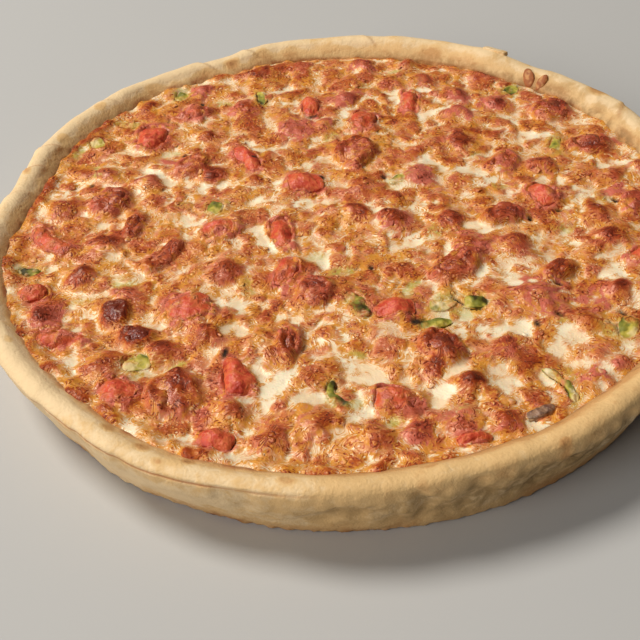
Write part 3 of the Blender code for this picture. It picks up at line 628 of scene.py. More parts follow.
def stain_spots(look, x, y, wx, wy, quick):
    """Stain the cheese red and green from below, and scorch its spots and holes."""
    for spot_x, spot_y, radius, strength in BLUSHES:
        look.blush = look.blush + strength * eased(spot_distance(spot_x, spot_y, radius, wx, wy), 1.3, 0.5)
    for *oval, strength in GREEN_TINTS:
        distance = oval_distance(oval, 0.3 * x + 0.7 * wx, 0.3 * y + 0.7 * wy, 2.6)
        tint = strength * eased(distance + 0.25 * quick, 1.35, 0.45)
        look.green = np.maximum(look.green, tint)
        look.toast = look.toast * (1.0 - 0.2 * np.clip(tint, 0.0, 1.0))
    for *oval, depth in SCORCHES:
        spot = eased(oval_distance(oval, x, y), 1.15, 0.45)
        look.scorch = np.maximum(look.scorch, spot)
        look.pit = np.maximum(look.pit, depth * MM * spot)


def bake_edge(look, gap, degrees, slow, middle, quick):
    """Brown the edge of the cheese beside the crust, most on the left, with a little painted shadow of the
    rim at the far left; gap is the distance to the crust.
    """
    width = (2.6 + 1.0 * bell(degrees - 180.0, 62.0)) * MM
    edge = np.exp(-(np.clip(gap, 0.0, 1.0) / width) ** 2)
    # more toasted at the left edge as real browning; the bump at 163 degrees paints the rim's shadow there
    browning_and_shadow = 0.20 * bell(degrees - 180.0, 62.0) + 0.06 * bell(degrees - 163.0, 16.0)
    look.toast = look.toast * (1.0 - 0.35 * edge)
    baked = edge * (0.34 + browning_and_shadow + 0.45 * middle + 0.45 * quick + 0.25 * slow)
    look.toast = np.maximum(look.toast, baked)
    look.blush = look.blush * (1.0 - 0.8 * edge)
    look.cream = look.cream * (1.0 - 0.6 * edge)


def cheese_fields(x, y):
    """Height of the fine cheese over places, and its browning, blush, green tint, scorch and cream."""
    flat = flat_places(x, y)
    push_x = grains(flat, (9, 2.4 * MM, 21), (3.6, 1.3 * MM, 22))
    push_y = grains(flat, (9, 2.4 * MM, 23), (3.6, 1.3 * MM, 24))
    wx, wy = x + push_x, y + push_y
    gap = wall_radius(np.arctan2(y, x)) - np.hypot(x, y)
    degrees = np.degrees(np.arctan2(y, x))
    slow, middle, quick, fine = (noise(flat, size * MM, seed)
                                 for size, seed in ((24, 31), (11, 32), (5.5, 33), (2.8, 34)))

    look = SimpleNamespace(**{name: np.zeros_like(x) for name in (
        "cream", "green", "crisp", "mound", "sink", "scorch", "pit")})
    for *patch, pale in CREAM_PATCHES:
        share = eased(patch_distance(patch, wx, wy) + 0.55 * quick, 1.9, 0.1)
        look.cream = np.maximum(look.cream, pale * share)
    bits = domes(wx, wy, 12.0 * MM, 53, True)
    bits = np.maximum(bits, 0.85 * domes(wx, wy, 7.0 * MM, 54, True))
    rims = eased(bits, 0.16, 0.30) * eased(bits, 0.62, 0.36)
    look.toast = (0.15 + 0.53 * eased(bits, 0.20, 0.88) + 0.12 * rims
                  + 0.10 * slow + 0.16 * middle + 0.20 * quick)
    look.blush = grains(flat, (16, 0.35, 35), (6, 0.25, 36), start=0.30)
    brown_lumps(look, wx, wy, middle, quick)
    cover_toppings(look, x, y, push_x, push_y, flat, middle, quick)
    stain_spots(look, x, y, wx, wy, quick)
    bake_edge(look, gap, degrees, slow, middle, quick)

    coloured = eased(look.toast, 0.25, 0.6)
    pebbles = domes(wx, wy, 4.6 * MM, 51)
    toast = look.toast + 0.08 * coloured * (pebbles - 0.45)
    streaks = 0.14 + 0.44 * np.clip(quick + 0.6 * middle + 0.6 * fine, -0.40, 1.0)
    toast = toast * (1.0 - look.cream) + look.cream * streaks
    rough = (1.0 - 0.6 * look.cream) * (0.45 + 0.55 * coloured)
    relief = 0.14 * pebbles + 0.9 * eased(bits, 0.1, 0.8) + 0.45 * quick + 0.3 * look.crisp - 0.2
    height = cheese_height(x, y) + look.mound - 2.4 * MM * look.sink - look.pit
    height = height + rough * relief * MM + 0.4 * MM * middle - 0.5 * MM * look.cream
    ooze = cheese_ooze(degrees, middle, quick) * MM
    share = eased(gap, 6.0 * MM, 0.0)
    height = height * (1.0 - share) + (CHEESE_LEVEL + ooze) * share
    height = height - 1.2 * np.clip(-gap - 0.8 * ooze, 0.0, 1.0)
    return {"height": height, "toast": toast, "blush": np.clip(look.blush, 0.0, 1.6),
            "green": look.green, "scorch": look.scorch, "cream": look.cream}


# ---------------------------------------------------------------------------------- topping forms

def unit_ball(subdivisions):
    """Directions and triangles of an icosphere."""
    bm = bmesh.new()
    bmesh.ops.create_icosphere(bm, subdivisions=subdivisions, radius=1.0)
    directions = np.array([vert.co.normalized() for vert in bm.verts])
    faces = np.array([[vert.index for vert in face.verts] for face in bm.faces])
    bm.free()
    return directions, faces


def cut_facets(shape, form, seed, taper=None):
    """A round shape of half size 1 with flat cuts, one thinner end and a flattened top, as if chopped."""
    draw = np.random.default_rng(seed + 1000)
    for _ in range(form.get("facets", 0)):
        heading, climb = draw.uniform(0.0, 2.0 * math.pi), draw.uniform(0.30, 1.25)
        normal = np.array([math.cos(heading) * math.cos(climb), math.sin(heading) * math.cos(climb),
                           math.sin(climb)])
        over = shape @ normal - draw.uniform(0.72, 0.95)
        shape = shape - 0.9 * np.maximum(over, 0.0)[:, None] * normal * np.array([0.35, 0.35, 1.0])
    random_taper = draw.uniform(-1.0, 1.0) * form.get("taper", 0.0)
    taper = random_taper if taper is None else taper
    tilt = draw.uniform(-0.25, 0.25, 2) * (shape[:, 2] > 0)[:, None] * shape[:, 2:3]
    flat = form.get("flat", 1.0)
    top = np.where(shape[:, 2] > 0, flat * np.tanh(shape[:, 2] / flat) / math.tanh(1.0 / flat), shape[:, 2])
    spread = np.clip(np.hypot(shape[:, 0], shape[:, 1]), 0.0, 1.2)
    top = top * np.where(top > 0, 1.0 - form.get("slump", 0.0) * spread ** 2, 1.0)
    return np.stack([shape[:, 0], shape[:, 1] * (1.0 + taper * shape[:, 0]) / (1.0 + 0.5 * abs(taper)),
                     top * (1.0 + tilt[:, 0] * shape[:, 0] + tilt[:, 1] * shape[:, 1])], axis=1)


def chunk_skin(directions, size, bend, form, seed, taper=None):
    """Points of a chunk's skin about its own middle, as in the solids; size is length, width and rise."""
    length, width, rise = (part * MM for part in size)
    draw = np.random.default_rng(seed)
    knobs = draw.normal(size=(7, 3))
    knobs /= np.linalg.norm(knobs, axis=1)[:, None]
    uneven = np.sin(3.0 * (directions @ knobs.T) + draw.uniform(0, 6.28, 7)).mean(axis=1)
    square = form["square"]
    reach = (np.abs(directions) ** square).sum(axis=1) ** (-1.0 / square)
    reach = reach * (1.0 + 2.2 * form["rough"] * uneven)
    shape = cut_facets(directions * reach[:, None], form, seed, taper)
    x = 0.5 * length * shape[:, 0]
    y = 0.5 * width * shape[:, 1]
    z = shape[:, 2] * np.where(shape[:, 2] > 0, rise, form["depth"])
    if bend:
        radius = length / math.radians(bend)
        turned = x / radius
        x, y = (radius - y) * np.sin(turned), radius - (radius - y) * np.cos(turned)
    return np.stack([x, y, z], axis=1)


def normals_of(points, faces):
    """Outward direction at each vertex of a triangle mesh."""
    corners = points[faces]
    across = np.cross(corners[:, 1] - corners[:, 0], corners[:, 2] - corners[:, 0])
    normals = np.zeros_like(points)
    for k in range(3):
        np.add.at(normals, faces[:, k], across)
    return normals / np.maximum(np.linalg.norm(normals, axis=1), 1e-12)[:, None]


def topping_mesh(kind, number, row, ball):
    """Points and fields of one fine topping in its place."""
    directions, faces = ball
    form = FORMS[kind]
    size, seed = (row.length, row.width, row.rise), form["seed"] + number - 1
    points = chunk_skin(directions, size, row.bend, form, seed, TAPERS.get((kind, number)))
    turn = math.radians(row.turn)
    spin = np.array([[math.cos(turn), math.sin(turn), 0], [-math.sin(turn), math.cos(turn), 0], [0, 0, 1]])
    middle = np.array([row.x * MM, row.y * MM])
    points = points @ spin + np.array([*middle, float(cheese_height(*middle))])
    normals = normals_of(points, faces)
    lift = np.zeros(len(points))
    for step, (size, height) in enumerate(RELIEF[kind]):
        wave = noise(points, size * MM, 60 + step)
        lift += height * MM * (wave if kind != "meat" else 0.75 * wave + 0.25 * np.sqrt(np.abs(wave)) - 0.12)
    points = points + normals * (lift * eased(directions[:, 2], -0.6, 0.1))[:, None]

    fields = cheese_fields(points[:, 0], points[:, 1])
    above = (points[:, 2] - fields["height"]) / MM
    uneven = grains(points, (5, 0.5, 71), (2.5, 0.3, 72))
    bare = 0.50 + 0.7 * row.cover if kind == "tomato" else 0.55
    film = eased(above / row.rise + 0.45 * uneven, bare, 0.0)
    if kind != "meat":
        cover = (0.05 if kind == "tomato" else 0.16) + row.cover
        film = np.maximum(film, eased(cover + 0.50 * noise(points, 7 * MM, 73) + 0.45 * uneven, 0.20, 0.85))
    fields["film"] = np.clip(film, 0.0, 1.0)

    offsets = points[:, :2] - middle
    # the steeper the skin, the higher the tone: painted shade that darkens the sides of the tomatoes and
    # peppers
    tone = eased(normals[:, 2], 0.85, 0.25)
    if kind == "pepper":
        along = offsets @ np.array([math.cos(turn), math.sin(turn)]) / (0.5 * row.length * MM)
        across = offsets @ np.array([-math.sin(turn), math.cos(turn)]) / (0.5 * row.width * MM)
        flesh = row.tone - 0.08 + 0.30 * across + (0.35 if number % 2 else -0.35) * along
        tone = grains(points, (5, 0.35, 74), (2.2, 0.25, 75), start=flesh) + 0.40 * tone
    if kind == "meat":
        # painted shade: the meat is more toasted on the side towards its heading, which points to the right
        # and far side
        heading = 0.6 + 0.7 * math.sin(2.4 * number)
        half = 0.25 * MM * (row.length + row.width)
        shaded_side = offsets @ np.array([math.cos(heading), math.sin(heading)]) / half
        fields["toast"] = fields["toast"] + 0.04 + 0.32 * np.clip(shaded_side, -1.2, 1.0) + 0.16 * uneven
    fields["tone"] = tone + 0.2 * uneven
    return points, faces, fields


# ----------------------------------------------------------------------------------- mesh helpers

def grid_faces(rows, columns, wrap):
    """Quads of a grid whose vertices run row by row; wrap joins the last column to the first."""
    count = columns if wrap else columns - 1
    row, column = np.meshgrid(np.arange(rows - 1), np.arange(count), indexing="ij")
    here, after = row * columns + column, row * columns + (column + 1) % columns
    return np.stack([here, after, after + columns, here + columns], axis=-1).reshape(-1, 4)


def put(name, data):
    """A new object with its data, in the scene."""
    thing = bpy.data.objects.new(name, data)
    bpy.context.scene.collection.objects.link(thing)
    return thing


def mesh_object(name, points, faces, material, fields):
    """A smooth mesh object with its finish fields as vertex attributes."""
    mesh = bpy.data.meshes.new(name)
    mesh.from_pydata(np.asarray(points).tolist(), [], [list(map(int, face)) for face in faces])
    if mesh.validate(verbose=False):
        raise RuntimeError(f"{name} has faces that Blender had to repair")
    for field, values in fields.items():
        if field != "height":
            attribute = mesh.attributes.new(field, "FLOAT", "POINT")
            attribute.data.foreach_set("value", np.asarray(values, np.float32))
    mesh.materials.append(material)
    mesh.shade_smooth()
    mesh.update()
    return put(name, mesh)


def keep(thing, slot, *nodes):
    """Let a finished piece ride on the pizza and stand for its solids; slot is not used."""
    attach(thing, "root")
    if nodes:
        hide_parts(*nodes)


# --------------------------------------------------------------------------------- shader helpers

class Nodes:
    """Short ways to add and join the nodes of one tree."""

    def __init__(self, tree):
        self.tree = tree

    def add(self, kind, inputs=(), **settings):
        """A node with its settings; inputs maps socket names or numbers to values or sockets."""
        node = self.tree.nodes.new(kind)
        for name, value in settings.items():
            setattr(node, name, value)
        for name, value in dict(inputs).items():
            self.feed(node.inputs[name], value)
        return node

    def feed(self, socket, value):
        """Join a socket to another, or set its value."""
        if isinstance(value, bpy.types.NodeSocket):
            self.tree.links.new(value, socket)
        elif isinstance(value, tuple) and len(value) == 3 and socket.type == "RGBA":
            socket.default_value = (*value, 1.0)
        else:
            socket.default_value = value

    def sum(self, kind, *values, clamp=False):
        """A math node's result."""
        return self.add("ShaderNodeMath", dict(enumerate(values)), operation=kind, use_clamp=clamp).outputs[0]

    def times(self, first, second, clamp=False):
        """Two values multiplied."""
        return self.sum("MULTIPLY", first, second, clamp=clamp)

    def onto(self, base, value, factor):
        """A base with a value times a factor added."""
        return self.sum("MULTIPLY_ADD", value, factor, base)

    def swing(self, base, grain, factor, clamp=False):
        """A base moved up and down by a grain that lies round a half."""
        return self.sum("MULTIPLY_ADD", self.sum("SUBTRACT", grain, 0.5), factor, base, clamp=clamp)

    def ease(self, value, low, high, start=0.0, end=1.0):
        """A value mapped softly from one range to another."""
        return self.add("ShaderNodeMapRange", {"Value": value, "From Min": low, "From Max": high,
                                               "To Min": start, "To Max": end},
                        interpolation_type="SMOOTHSTEP").outputs[0]

    def mix(self, share, first, second):
        """Two colours mixed."""
        node = self.add("ShaderNodeMix", data_type="RGBA")
        for socket, value in ((node.inputs[0], share), (node.inputs[6], first), (node.inputs[7], second)):
            self.feed(socket, value)
        return node.outputs[2]

    def place(self):
        """Object coordinates."""
        return self.add("ShaderNodeTexCoord").outputs["Object"]

    def grain(self, place, size, detail=2.0, rough=0.5, twist=0.0):
        """Noise with bumps of a size in millimetres."""
        return self.add("ShaderNodeTexNoise", {"Vector": place, "Scale": MM_IN_METRE / size, "Detail": detail,
                                               "Roughness": rough, "Distortion": twist}).outputs["Fac"]

    def field(self, name):
        """A vertex attribute's value."""
        return self.add("ShaderNodeAttribute", attribute_name=name).outputs["Fac"]


def shader_group(name, inputs, outputs):
    """A new shader node group with its sockets, its nodes helper, and its inner input and output nodes."""
    tree = bpy.data.node_groups.new(name, "ShaderNodeTree")
    for direction, sockets in (("INPUT", inputs), ("OUTPUT", outputs)):
        for label, (kind, value) in sockets.items():
            socket = tree.interface.new_socket(label, in_out=direction, socket_type=kind)
            if value is not None:
                socket.default_value = (*value, 1.0) if kind == "NodeSocketColor" else value
    nodes = Nodes(tree)
    return tree, nodes, nodes.add("NodeGroupInput").outputs, nodes.add("NodeGroupOutput").inputs


NUMBER, COLOUR = "NodeSocketFloat", "NodeSocketColor"
LOOK_COLOURS = ("cream", "gold", "amber", "brown", "dark", "pink", "rose", "ochre", "green")
# Noises of the baked look: size in millimetres, detail, roughness and twist
LOOK_GRAINS = ((6.0, 2.0, 0.45, 0.6), (3.0, 2.0, 0.45, 1.2), (11.0, 2.0, 0.5, 2.2), (1.2, 1.0, 0.5, 0.6),
               (7.5, 2.0, 0.6, 1.5), (14.0, 2.0, 0.5, 0.8))
RINGED_BUBBLE = 4.2                          # distance between ringed bubbles in millimetres


def colours_now():
    """The scene's colour settings as plain tuples."""
    settings = bpy.context.scene.pizza_colours
    return SimpleNamespace(**{name: tuple(getattr(settings, name)) for name in settings.__annotations__})


def baked_cheese_group():
    """The look of baked cheese, from cream through gold to scorched, with its small ringed bubbles."""
    found = bpy.data.node_groups.get("baked cheese look")
    if found:
        return found
    colours = colours_now()
    inputs = {name: (NUMBER, value)
              for name, value in (("Toast", 0.4), ("Blush", 0.3), ("Green", 0.0), ("Scorch", 0.0))}
    inputs.update({f"{name.capitalize()} colour": (COLOUR, getattr(colours, name)) for name in LOOK_COLOURS})
    outputs = {"Color": (COLOUR, None), "Roughness": (NUMBER, None), "Height": (NUMBER, None)}
    tree, n, given, out = shader_group("baked cheese look", inputs, outputs)
    toast = given["Toast"]
    tint = SimpleNamespace(**{name: given[f"{name.capitalize()} colour"] for name in LOOK_COLOURS})
    place = n.place()
    blobs, curds, swirl, fine, hue, slow_hue = (n.grain(place, *grain) for grain in LOOK_GRAINS)
    cells = n.add("ShaderNodeTexVoronoi",
                  {"Vector": place, "Scale": MM_IN_METRE / RINGED_BUBBLE, "Randomness": 1.0})
    near = cells.outputs["Distance"]
    luck = n.add("ShaderNodeSeparateColor", {0: cells.outputs["Color"]}).outputs[0]
    # rings round some of the bubbles, where the cheese is coloured
    shown = n.times(n.ease(luck, 0.50, 0.60), n.ease(toast, 0.15, 0.42))
    ring = n.times(n.times(n.ease(near, 0.18, 0.30), n.ease(near, 0.44, 0.33)), shown)
    heart = n.times(n.ease(near, 0.24, 0.08), shown)
    # thin curled lines where the melted skin folded: dark ones, and pale ones beside them
    level = n.sum("FRACT", n.times(swirl, 8.0))
    lines = n.times(n.ease(curds, 0.42, 0.60, 0.25, 1.0), n.ease(fine, 0.40, 0.56, 0.25, 1.0))
    crease, fold = (n.times(n.ease(n.sum("ABSOLUTE", n.sum("SUBTRACT", level, at)), width, 0.0), lines)
                    for at, width in ((0.3, 0.20), (0.7, 0.24)))

    curdled = n.times(n.sum("SUBTRACT", curds, 0.5), n.ease(toast, 0.0, 0.35, 0.75, 1.0))
    freckles = n.times(n.ease(curds, 0.53, 0.68), n.ease(toast, 0.40, 0.15))
    browned = n.swing(toast, blobs, 0.36)
    for mark, strength in ((curdled, 0.22), (ring, 0.17), (heart, -0.14),
                           (crease, n.ease(toast, 0.10, 0.45, 0.12, 0.52)), (fold, -0.43), (freckles, 0.04)):
        browned = n.onto(browned, mark, strength)

    cream = n.mix(n.ease(slow_hue, 0.42, 0.60, 0.0, 0.26), tint.cream, tint.ochre)
    gold = n.mix(n.ease(hue, 0.44, 0.60, 0.0, 0.45), tint.gold, tint.ochre)
    gold = n.mix(n.ease(hue, 0.46, 0.36, 0.0, 0.30), gold, tint.pink)
    colour = n.mix(n.ease(browned, 0.03, 0.38), cream, gold)
    amber = n.mix(n.ease(slow_hue, 0.44, 0.60, 0.0, 0.8), tint.amber, tint.ochre)
    colour = n.mix(n.ease(browned, 0.32, 0.64), colour, amber)
    halo = n.times(n.ease(browned, 0.20, 0.34), n.ease(browned, 0.56, 0.40))
    oily = n.times(n.ease(hue, 0.42, 0.60, 0.1, 0.9), halo)
    colour = n.mix(n.times(oily, 0.9), colour, tint.ochre)
    blush = n.times(given["Blush"], n.ease(toast, 0.10, 0.45))
    colour = n.mix(n.times(blush, n.ease(hue, 0.58, 0.42, 0.25, 1.15), clamp=True), colour, tint.pink)
    rosy = n.times(blush, n.ease(slow_hue, 0.56, 0.44, 0.1, 0.9), clamp=True)
    colour = n.mix(n.ease(browned, 0.52, 0.90), colour, n.mix(rosy, tint.brown, tint.rose))
    colour = n.mix(n.ease(browned, 0.84, 1.20), colour, tint.dark)
    leaf = n.times(given["Green"], n.ease(browned, 0.80, 0.30, 0.15, 1.0), clamp=True)
    colour = n.mix(n.times(leaf, n.ease(hue, 0.38, 0.58, 0.28, 0.74)), colour, tint.green)
    burnt = n.times(given["Scorch"], n.ease(blobs, 0.2, 0.5, 0.7, 1.0))
    n.feed(out["Color"], n.mix(burnt, colour, colours.char))

    rough = n.onto(n.ease(toast, 0.1, 0.8, 0.14, 0.20), curds, 0.36)
    n.feed(out["Roughness"], n.onto(rough, given["Scorch"], 0.5))
    height = n.times(fine, 0.12)
    raised = n.sum("SUBTRACT", heart, ring)
    for mark, strength in ((curds, 0.50), (blobs, 0.8), (raised, 0.18), (crease, -0.22)):
        height = n.onto(height, mark, strength)
    n.feed(out["Height"], n.times(height, n.ease(toast, 0.10, 0.60, 0.45, 1.0)))
    return tree


def new_material(name):
    """A material with an empty Principled shader: its nodes helper and the shader."""
    material = bpy.data.materials.new(name)
    material.use_nodes = True
    return material, Nodes(material.node_tree), material.node_tree.nodes["Principled BSDF"]


def finish_shader(n, shader, colour, rough, height, depth, gloss=None):
    """Colour, roughness and bump of a depth in metres on a shader, and its gloss where that is given."""
    n.feed(shader.inputs["Base Color"], colour)
    n.feed(shader.inputs["Roughness"], rough)
    bump = n.add("ShaderNodeBump", {"Height": height, "Distance": depth, "Strength": 1.0})
    n.feed(shader.inputs["Normal"], bump.outputs["Normal"])
    if gloss is not None:
        shader.inputs["Specular IOR Level"].default_value = gloss


def cheese_look(n, **given):
    """The shared baked look, fed with the piece's own fields where no value is given."""
    group = n.add("ShaderNodeGroup", node_tree=baked_cheese_group())
    for field in ("toast", "blush", "green", "scorch"):
        n.feed(group.inputs[field.capitalize()], given[field] if field in given else n.field(field))
    return group.outputs


def cheese_material():
    """Baked cheese: cream to brown, a little oily."""
    material, n, shader = new_material("baked cheese")
    look = cheese_look(n)
    finish_shader(n, shader, look["Color"], look["Roughness"], look["Height"], 0.9 * MM, gloss=0.4)
    shader.inputs["Specular Tint"].default_value = (1.0, 0.84, 0.66, 1.0)
    shader.inputs["Subsurface Weight"].default_value = 0.25
    shader.inputs["Subsurface Radius"].default_value = (1.0, 0.55, 0.3)
    shader.inputs["Subsurface Scale"].default_value = 2.5 * MM
    return material


def meat_material():
    """Browned meat under a skin of cheese, with wrinkles that carry painted shade in their dips and painted
    highlights on their crests, and a satin gloss.
    """
    material, n, shader = new_material("browned meat")
    colours, look = colours_now(), cheese_look(n)
    wrinkles = n.grain(n.place(), 1.15, 2.0, 0.55, 0.8)
    strong = n.ease(n.field("toast"), 0.45, 0.75)
    colour = look["Color"]
    # painted shade in the dips of the wrinkles and painted highlights on their crests, where the meat is well
    # browned
    for low, high, share, painted_wrinkle_colour in ((0.46, 0.30, 0.45, colours.dark), (0.56, 0.70, 0.40, colours.painted_wrinkle_highlight)):
        colour = n.mix(n.times(n.ease(wrinkles, low, high), n.times(strong, share)), colour, painted_wrinkle_colour)
    rough = n.onto(0.02, look["Roughness"], 0.8)
    finish_shader(n, shader, colour, rough, n.onto(look["Height"], wrinkles, 0.8), 0.5 * MM)
    return material


def tomato_material():
    """Roasted tomato: moist red flesh with deep red skin and painted shade on its steep sides, cheese drawn
    over its edges.
    """
    material, n, shader = new_material("roasted tomato")
    colours, place = colours_now(), n.place()
    flesh, fibre = n.grain(place, 7.0, 2.0, 0.5, 0.6), n.grain(place, 2.6, 2.0, 0.5, 1.4)
    fine = n.grain(place, 1.0, 1.0)
    # deep red in random patches and, through the tone, as painted shade on the steep sides
    skin = n.ease(n.onto(n.field("tone"), flesh, 1.6), 0.75, 1.45)
    dried = n.ease(n.onto(fibre, flesh, -0.5), 0.16, 0.42, 0.0, 0.9)
    red = n.mix(dried, n.mix(skin, colours.tomato, colours.tomato_deep), colours.tomato_pale)
    look = cheese_look(n, toast=n.sum("MAXIMUM", n.field("toast"), 0.42),
                       blush=n.sum("ADD", n.field("blush"), 0.35))
    film = n.swing(n.field("film"), fibre, 0.9, clamp=True)
    red = n.mix(n.ease(film, 0.02, 0.45, 0.0, 0.9), red, colours.tomato_edge)
    film = n.ease(film, 0.25, 0.95, 0.0, 0.92)
    colour = n.mix(n.field("scorch"), n.mix(film, red, look["Color"]), colours.char)
    height = n.onto(n.onto(n.times(look["Height"], film), fibre, 0.9), fine, 0.25)
    finish_shader(n, shader, colour, n.onto(0.33, fine, 0.25), height, 0.6 * MM, gloss=0.4)
    return material


def pepper_material():
    """Roasted green pepper, from cream through yellow green to dark green, with cheese over its edges."""
    material, n, shader = new_material("green pepper")
    colours, place = colours_now(), n.place()
    veins, fine = n.grain(place, 4.0, 2.0, 0.5, 1.2), n.grain(place, 1.3, 2.0)
    # the tone darkens the green on the steep sides as painted shade
    tone = n.swing(n.field("tone"), veins, 0.5)
    colour = colours.pepper_pale
    for low, high, flesh in ((0.02, 0.38, colours.pepper_light), (0.38, 0.72, colours.pepper),
                             (0.74, 1.1, colours.pepper_dark)):
        colour = n.mix(n.ease(tone, low, high), colour, flesh)
    look = cheese_look(n, toast=n.times(n.field("toast"), 0.8), green=0.6)
    film = n.ease(n.swing(n.field("film"), veins, 0.8, clamp=True), 0.1, 0.9, 0.0, 0.9)
    colour = n.mix(n.field("scorch"), n.mix(film, colour, look["Color"]), colours.char)
    height = n.onto(n.onto(n.times(look["Height"], film), veins, 1.3), fine, 0.2)
    finish_shader(n, shader, colour, n.onto(0.46, fine, 0.25), height, 0.4 * MM, gloss=0.25)
    return material


def mushroom_material():
    """Baked mushroom: grey brown, dry, with cheese over its edges."""
    material, n, shader = new_material("baked mushroom")
    colours, place = colours_now(), n.place()
    gills, fine = n.grain(place, 2.4, 3.0, 0.6, 1.0), n.grain(place, 1.0, 2.0)
    colour = n.mix(n.ease(gills, 0.35, 0.65), colours.mushroom, colours.mushroom_gill)
    film = n.ease(n.swing(n.field("film"), gills, 0.8), 0.1, 0.95)
    colour = n.mix(film, colour, cheese_look(n)["Color"])
    finish_shader(n, shader, colour, n.onto(0.38, fine, 0.25), n.onto(gills, fine, 0.4), 0.5 * MM)
    return material


def dough_material():
    """Baked dough: pale gold, dry, with toasted spots, an orange stain beside the cheese, and painted shade
    in its dents, its creases and on its near-right wall.
    """
    material, n, shader = new_material("baked dough")
    colours, place = colours_now(), n.place()
    cloud, crumb = n.grain(place, 22.0, 3.0, 0.5, 0.3), n.grain(place, 5.0, 3.0, 0.6, 0.4)
    fine = n.grain(place, 1.1, 3.0, 0.6)
    toast = n.field("toast")
    for grain, strength in ((cloud, 0.80), (crumb, 0.65), (fine, 0.30)):
        toast = n.swing(toast, grain, strength)
    stain = n.times(n.field("stain"), n.ease(crumb, 0.30, 0.60, 0.4, 1.0), clamp=True)
    # painted shade from the shade field, patchy with the crumb
    shade = n.times(n.field("shade"), n.ease(crumb, 0.30, 0.65, 0.35, 1.0))
    # painted shade in the creases of the fold and the laps
    crease = n.times(n.field("crease"), n.ease(cloud, 0.30, 0.60, 0.25, 0.85))
    colour = colours.dough_pale
    for low, high, baked in ((0.05, 0.40, colours.dough), (0.42, 0.85, colours.dough_toasted),
                             (0.90, 1.25, colours.dough_brown)):
        colour = n.mix(n.ease(toast, low, high), colour, baked)
    # the orange stain, then painted shade, then the creases' painted shade in the stain colour
    for share, over in ((stain, colours.stain), (shade, colours.dough_shade), (crease, colours.stain)):
        colour = n.mix(share, colour, over)
    rough = n.ease(crumb, 0.3, 0.7, 0.58, 0.74)
    finish_shader(n, shader, colour, rough, n.onto(crumb, fine, 0.6), 0.45 * MM, gloss=0.35)
    return material


def material_for(slot):
    """The material of a slot, made once."""
    name, make = MATERIALS[slot]
    return bpy.data.materials.get(name) or make()


MATERIALS = {
    "cheese": ("baked cheese", cheese_material), "meat": ("browned meat", meat_material),
    "tomato": ("roasted tomato", tomato_material), "pepper": ("green pepper", pepper_material),
    "mushroom": ("baked mushroom", mushroom_material), "dough": ("baked dough", dough_material),
}


# ------------------------------------------------------------------------------------ crust pieces

def cheese_ooze(degrees, middle, quick):
    """How far the cheese climbs the crust above its own level, in millimetres, most on the near-left side."""
    lift = 0.9 + 2.4 * bell(degrees + 135.0, 38.0) - 1.6 * bell(degrees - 76.0, 28.0)
    return lift + 1.4 * bell(degrees - 122.0, 22.0) + 1.5 * middle + 1.0 * quick


def crust_fields(points, degrees, inset, height):
    """Browning, orange stain and painted shade of the dough."""
    slow, quick = noise(points, 30 * MM, 81), noise(points, 9 * MM, 82)
    radius = np.hypot(points[:, 0], points[:, 1])
    crest = np.exp(-((height - CREST_HEIGHT) / (5.0 * MM)) ** 2)
    inner = eased(inset, 7.5 * MM, 12.5 * MM)
    dents, _ = wall_dents(points)
    low = wall_share(inset) * eased(height, 31.0 * MM, 24.0 * MM)
    toast = 0.22 + 0.10 * slow + 0.08 * quick
    # patchy at the far right, more toasted at the near right as painted shade, paler at the near left and far
    # left
    toast = toast + 0.30 * quick * bell(degrees - 26.0, 26.0) + 0.36 * bell(degrees + 70.0, 26.0)
    toast = toast - 0.14 * (bell(degrees + 145.0, 30.0) + bell(degrees - 128.0, 26.0))
    # paler on the crest and the lower wall; more toasted on the inner wall, partly real toast and partly
    # painted shade, and in the wall's dents as painted shade
    toast = toast - 0.10 * crest + 0.42 * inner + low * (0.10 * dents - 0.20)
    on_rim = eased(height, 24.0 * MM, 30.0 * MM)
    for direction, depth, size, strength in RIM_TOASTS:
        arc = wrapped(degrees - direction) * np.pi / 180.0 * radius
        distance = np.hypot(arc, (inset - depth * MM) * 1.4) / (size * MM)
        spot = eased(distance + 0.35 * quick, 1.2, 0.3)
        toast = toast + 1.15 * strength * (1.0 - 0.60 * inner) * spot * on_rim

    # painted shade: in the dents of the wall and over the near-right wall, a little on the near-left rim and
    # the far-right rim, and below the rim beside the cheese
    near_right = bell(degrees + 52.0, 26.0)
    shade = low * ((0.02 + 0.42 * near_right) * (dents + 0.5 * quick) + 0.80 * near_right)
    near_left = 0.06 * eased(inset, 12.0 * MM, 9.0 * MM) * bell(degrees + 145.0, 30.0)
    far_right = 0.30 * bell(degrees - 34.0, 16.0) * (1.0 + 0.6 * quick)
    deep = eased(height - CHEESE_LEVEL, 4.0 * MM, 1.0 * MM)
    below_rim = (0.40 + 0.35 * bell(degrees - 163.0, 20.0)) * inner * deep
    shade = np.maximum(shade + near_left, below_rim + far_right * eased(inset, 3.0 * MM, 7.0 * MM))

    above = (height - CHEESE_LEVEL) / MM - cheese_ooze(degrees, slow, quick)
    stain = inner * eased(above + 1.6 * quick + 0.8 * slow, 1.8, -0.6)
    stain = stain * eased(noise(points, 6 * MM, 83), -0.7, 0.4)
    return np.minimum(toast, 1.0), stain, np.clip(shade, 0.0, 1.0)


